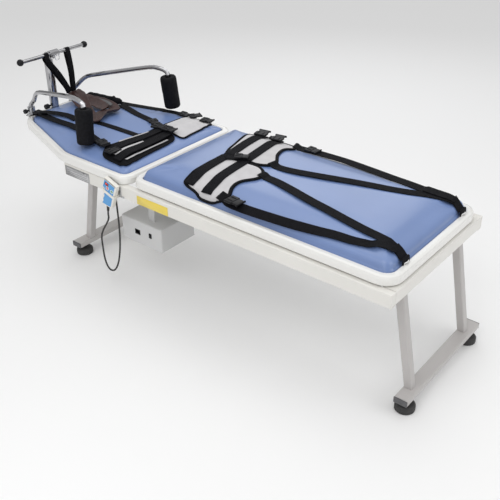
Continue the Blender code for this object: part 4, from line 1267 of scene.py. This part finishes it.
def build_plates():
    """The blank nameplate, the yellow label and the bracket on the near rail."""
    parts = [block("name_plate", (0.142, 0.001, 0.041), PLATE, 0.0004, 1)]
    for dx, dz, w, h in (
        (0.0, 0.018, 0.136, 0.0012), (0.0, -0.018, 0.136, 0.0012), (0.0674, 0.0, 0.0012, 0.0372),
        (-0.0674, 0.0, 0.0012, 0.0372), (0.0, 0.006, 0.118, 0.001), (0.0, -0.003, 0.118, 0.001),
        (0.0, -0.011, 0.118, 0.001),
    ):
        line = block("plate_line", (w, 0.0004, h), GREY_CAP, 0.0001, 1)
        parts.append(shift(line, dx, -0.0006, dz))
    put(joined("name_plate_lined", parts), -0.449, -0.3158, 0.4455, "frame")
    label = block("side_label", (0.158, 0.0006, 0.035), YELLOW, 0.0002, 1)
    put(label, -0.0365, -0.3156, 0.442, "frame")
    bracket = block("rail_bracket", (0.014, 0.002, 0.042), ZINC, 0.0008, 2)
    foot = block("rail_bracket_foot", (0.026, 0.0022, 0.008), ZINC, 0.0008, 2)
    shift(foot, 0.008, 0.0, -0.018)
    head = domed("rail_bracket_screw", (0.0028, 0.0008), (0.0018, 0.0016), 0.0018, ZINC, 16)
    place(head, (0.0, -0.001, 0.012), (0.0, -1.0, 0.0))
    item = joined("rail_bracket_l", [bracket, foot, head])
    put(item, -0.206, -0.3163, 0.445, "frame")


def build_box_lid():
    parts = [block("box_lid_plate", (0.219, 0.189, 0.0016), BOX_PAINT, 0.0006, 2)]
    for x in (-0.098, 0.098):
        for y in (-0.083, 0.083):
            screw = domed("lid_screw", (0.0036, 0.0006), (0.0022, 0.0018), 0.0021, ZINC, 16)
            parts.append(place(screw, (x, y, -0.0008), (0.0, 0.0, -1.0)))
    put(joined("box_lid", parts), -0.18, -0.155, 0.194, "frame")


def ring_piece(name, centre, across, up, width, height, wire, body):
    """A rectangular wire ring with round corners, standing in the plane of across and up."""
    a, b = Vector(across).normalized(), Vector(up).normalized()
    corner = min(width, height) * 0.28
    line = []
    for sx, sy, start in ((1, -1, -90), (1, 1, 0), (-1, 1, 90), (-1, -1, 180)):
        for k in range(5):
            angle = math.radians(start + 22.5 * k)
            x = sx * (width / 2 - corner) + corner * math.cos(angle)
            y = sy * (height / 2 - corner) + corner * math.sin(angle)
            line.append(Vector(centre) + BED + a * x + b * y)
    frames = frames_along(line, tuple(a.cross(b)), True)
    item = link(name, sweep(name, frames, round_section(wire, 10), True), BRIGHT_CHROME)
    mount(item, body)


def build_rings():
    """The D-rings at the head corners with their tabs, and the eye on the tee."""
    for name, y, lean, width in (("near", -0.131, 0.25, 0.04), ("far", 0.15, -0.25, 0.036)):
        across, up = (lean, 1.0, 0.0), (1.0, -lean, 0.18)
        centre = (-0.958, y, 0.517)
        ring_piece(f"corner_ring_{name}", centre, across, up, width, 0.022, 0.002, "frame")
    for name, y in (("near", -0.134), ("far", 0.152)):
        tab = block(f"ring_tab_{name}", (0.02, 0.024, 0.003), BLACK_PLASTIC, 0.0012, 2)
        put(tab, -0.972, y, 0.5096, "frame")
    eye = (-0.904, 0.004, 0.748)
    ring_piece("tee_eye", eye, (0.3, 1.0, 0.0), (0.0, 0.0, 1.0), 0.018, 0.02, 0.0019, "post")


# ---- handset
def offset_loop(points, inset):
    """A closed anticlockwise outline moved inwards point by point."""
    count = len(points)
    moved = []
    for i, here in enumerate(points):
        along = (points[(i + 1) % count] - points[i - 1]).normalized()
        moved.append(here + Vector((-along.y, along.x)) * inset)
    return moved


def ring_loop(centre, radius):
    return [(centre[0] + u, centre[1] + v) for u, v in round_section(radius, 28)]


def rectangle_loop(centre, width, height, slant=0.0):
    x, y = centre
    w, h = width / 2, height / 2
    low, high = x - slant, x + slant
    return [(low - w, y - h), (low + w, y - h), (high + w, y + h), (high - w, y + h)]


def on_handset(item, depth, body):
    """Stands the flat piece's XY plane on the handset's face, depth out from its middle."""
    shift(item, 0.0, 0.0, depth)
    stand = Matrix.Rotation(math.pi / 2, 4, "X")
    tilt = Matrix.Rotation(HANDSET_TILT, 4, "Y")
    item.data.transform(Matrix.Translation(BED + HANDSET) @ tilt @ stand)
    return mount(item, body)


def around_window(margin):
    return rectangle_loop(WINDOW, WINDOW_SIZE[0] + margin, WINDOW_SIZE[1] + margin)


def build_handset_face():
    outline = [Vector(p) for p in HANDSET_OUTLINE]
    edge = evenly(curve_through(offset_loop(outline, 0.0062), 4, True), 0.0022, True)
    holes = [ring_loop(spot, 0.0074) for spot in BUTTONS.values()]
    label = flat_shape("handset_label", [edge, *holes, around_window(0.0012)], 0.0004, LABEL_BLUE)
    on_handset(label, HANDSET_DEPTH + 0.0003, "handset")
    loops = [around_window(0.003), around_window(-0.0002)]
    rim = flat_shape("window_rim", loops, 0.0007, DARK_WINDOW)
    on_handset(rim, HANDSET_DEPTH + 0.0005, "handset")
    for name, spot in BUTTONS.items():
        loops = [ring_loop(spot, 0.0078), ring_loop(spot, 0.0058)]
        ring = flat_shape(f"{name}_ring", loops, 0.0009, WHITE_INK)
        on_handset(ring, HANDSET_DEPTH + 0.0006, "handset")
        dot = domed(f"{name}_dot", (0.0017, 0.0003), (0.001, 0.0005), 0.0006, WHITE_INK, 20)
        shift(dot, *spot, 0.0)
        on_handset(dot, HANDSET_DEPTH + 0.0012, f"{name}_button")
    build_digits()


def build_digits():
    """Two lit seven-segment digits, 0 and 1, behind the window."""
    high, wide, bar = 0.0062, 0.0033, 0.0009
    # Each segment: (across, up) from the digit's middle, and whether it lies level
    segments = {
        "a": (0.0, high / 2, True), "b": (wide / 2, high / 4, False),
        "c": (wide / 2, -high / 4, False), "d": (0.0, -high / 2, True),
        "e": (-wide / 2, -high / 4, False), "f": (-wide / 2, high / 4, False),
    }
    parts = []
    for x, lit in ((WINDOW[0] - 0.0033, "abcdef"), (WINDOW[0] + 0.0033, "bc")):
        for key in lit:
            dx, dy, level = segments[key]
            shape = (wide * 0.82, bar, 0.0) if level else (bar, high * 0.42, high * 0.024)
            loop = rectangle_loop((x + dx + dy * 0.12, WINDOW[1] + dy), *shape)
            parts.append(flat_shape("segment", [loop], 0.0002, DIGIT))
    on_handset(joined("digits", parts), HANDSET_DEPTH - 0.0001, "handset")


finish_nodes()
build_camera()
build_stage()
build_cord()
HEAD_PAD = build_cushion(
    "head_pad", "head_cushion", HEAD_OUTLINE, HEAD_BOARD_Z, HEAD_EDGE, "frame",
    [(POST_X, 0.0, 0.0215)],
)
FOOT_PAD = build_cushion(
    "foot_pad", "foot_cushion", FOOT_OUTLINE, FOOT_BOARD_Z, FOOT_EDGE, "foot_board"
)
HEAD_GROUND = Ground("frame", [HEAD_PAD, NODES["head_tray"]])
FOOT_GROUND = Ground("foot_board", [FOOT_PAD, NODES["foot_tray"]])

build_pelvic_harness()
build_traction_straps()
build_chest_harness()
build_halter()
build_arm_pads()
build_bar_caps()
build_plates()
build_box_lid()
build_rings()
build_handset_face()
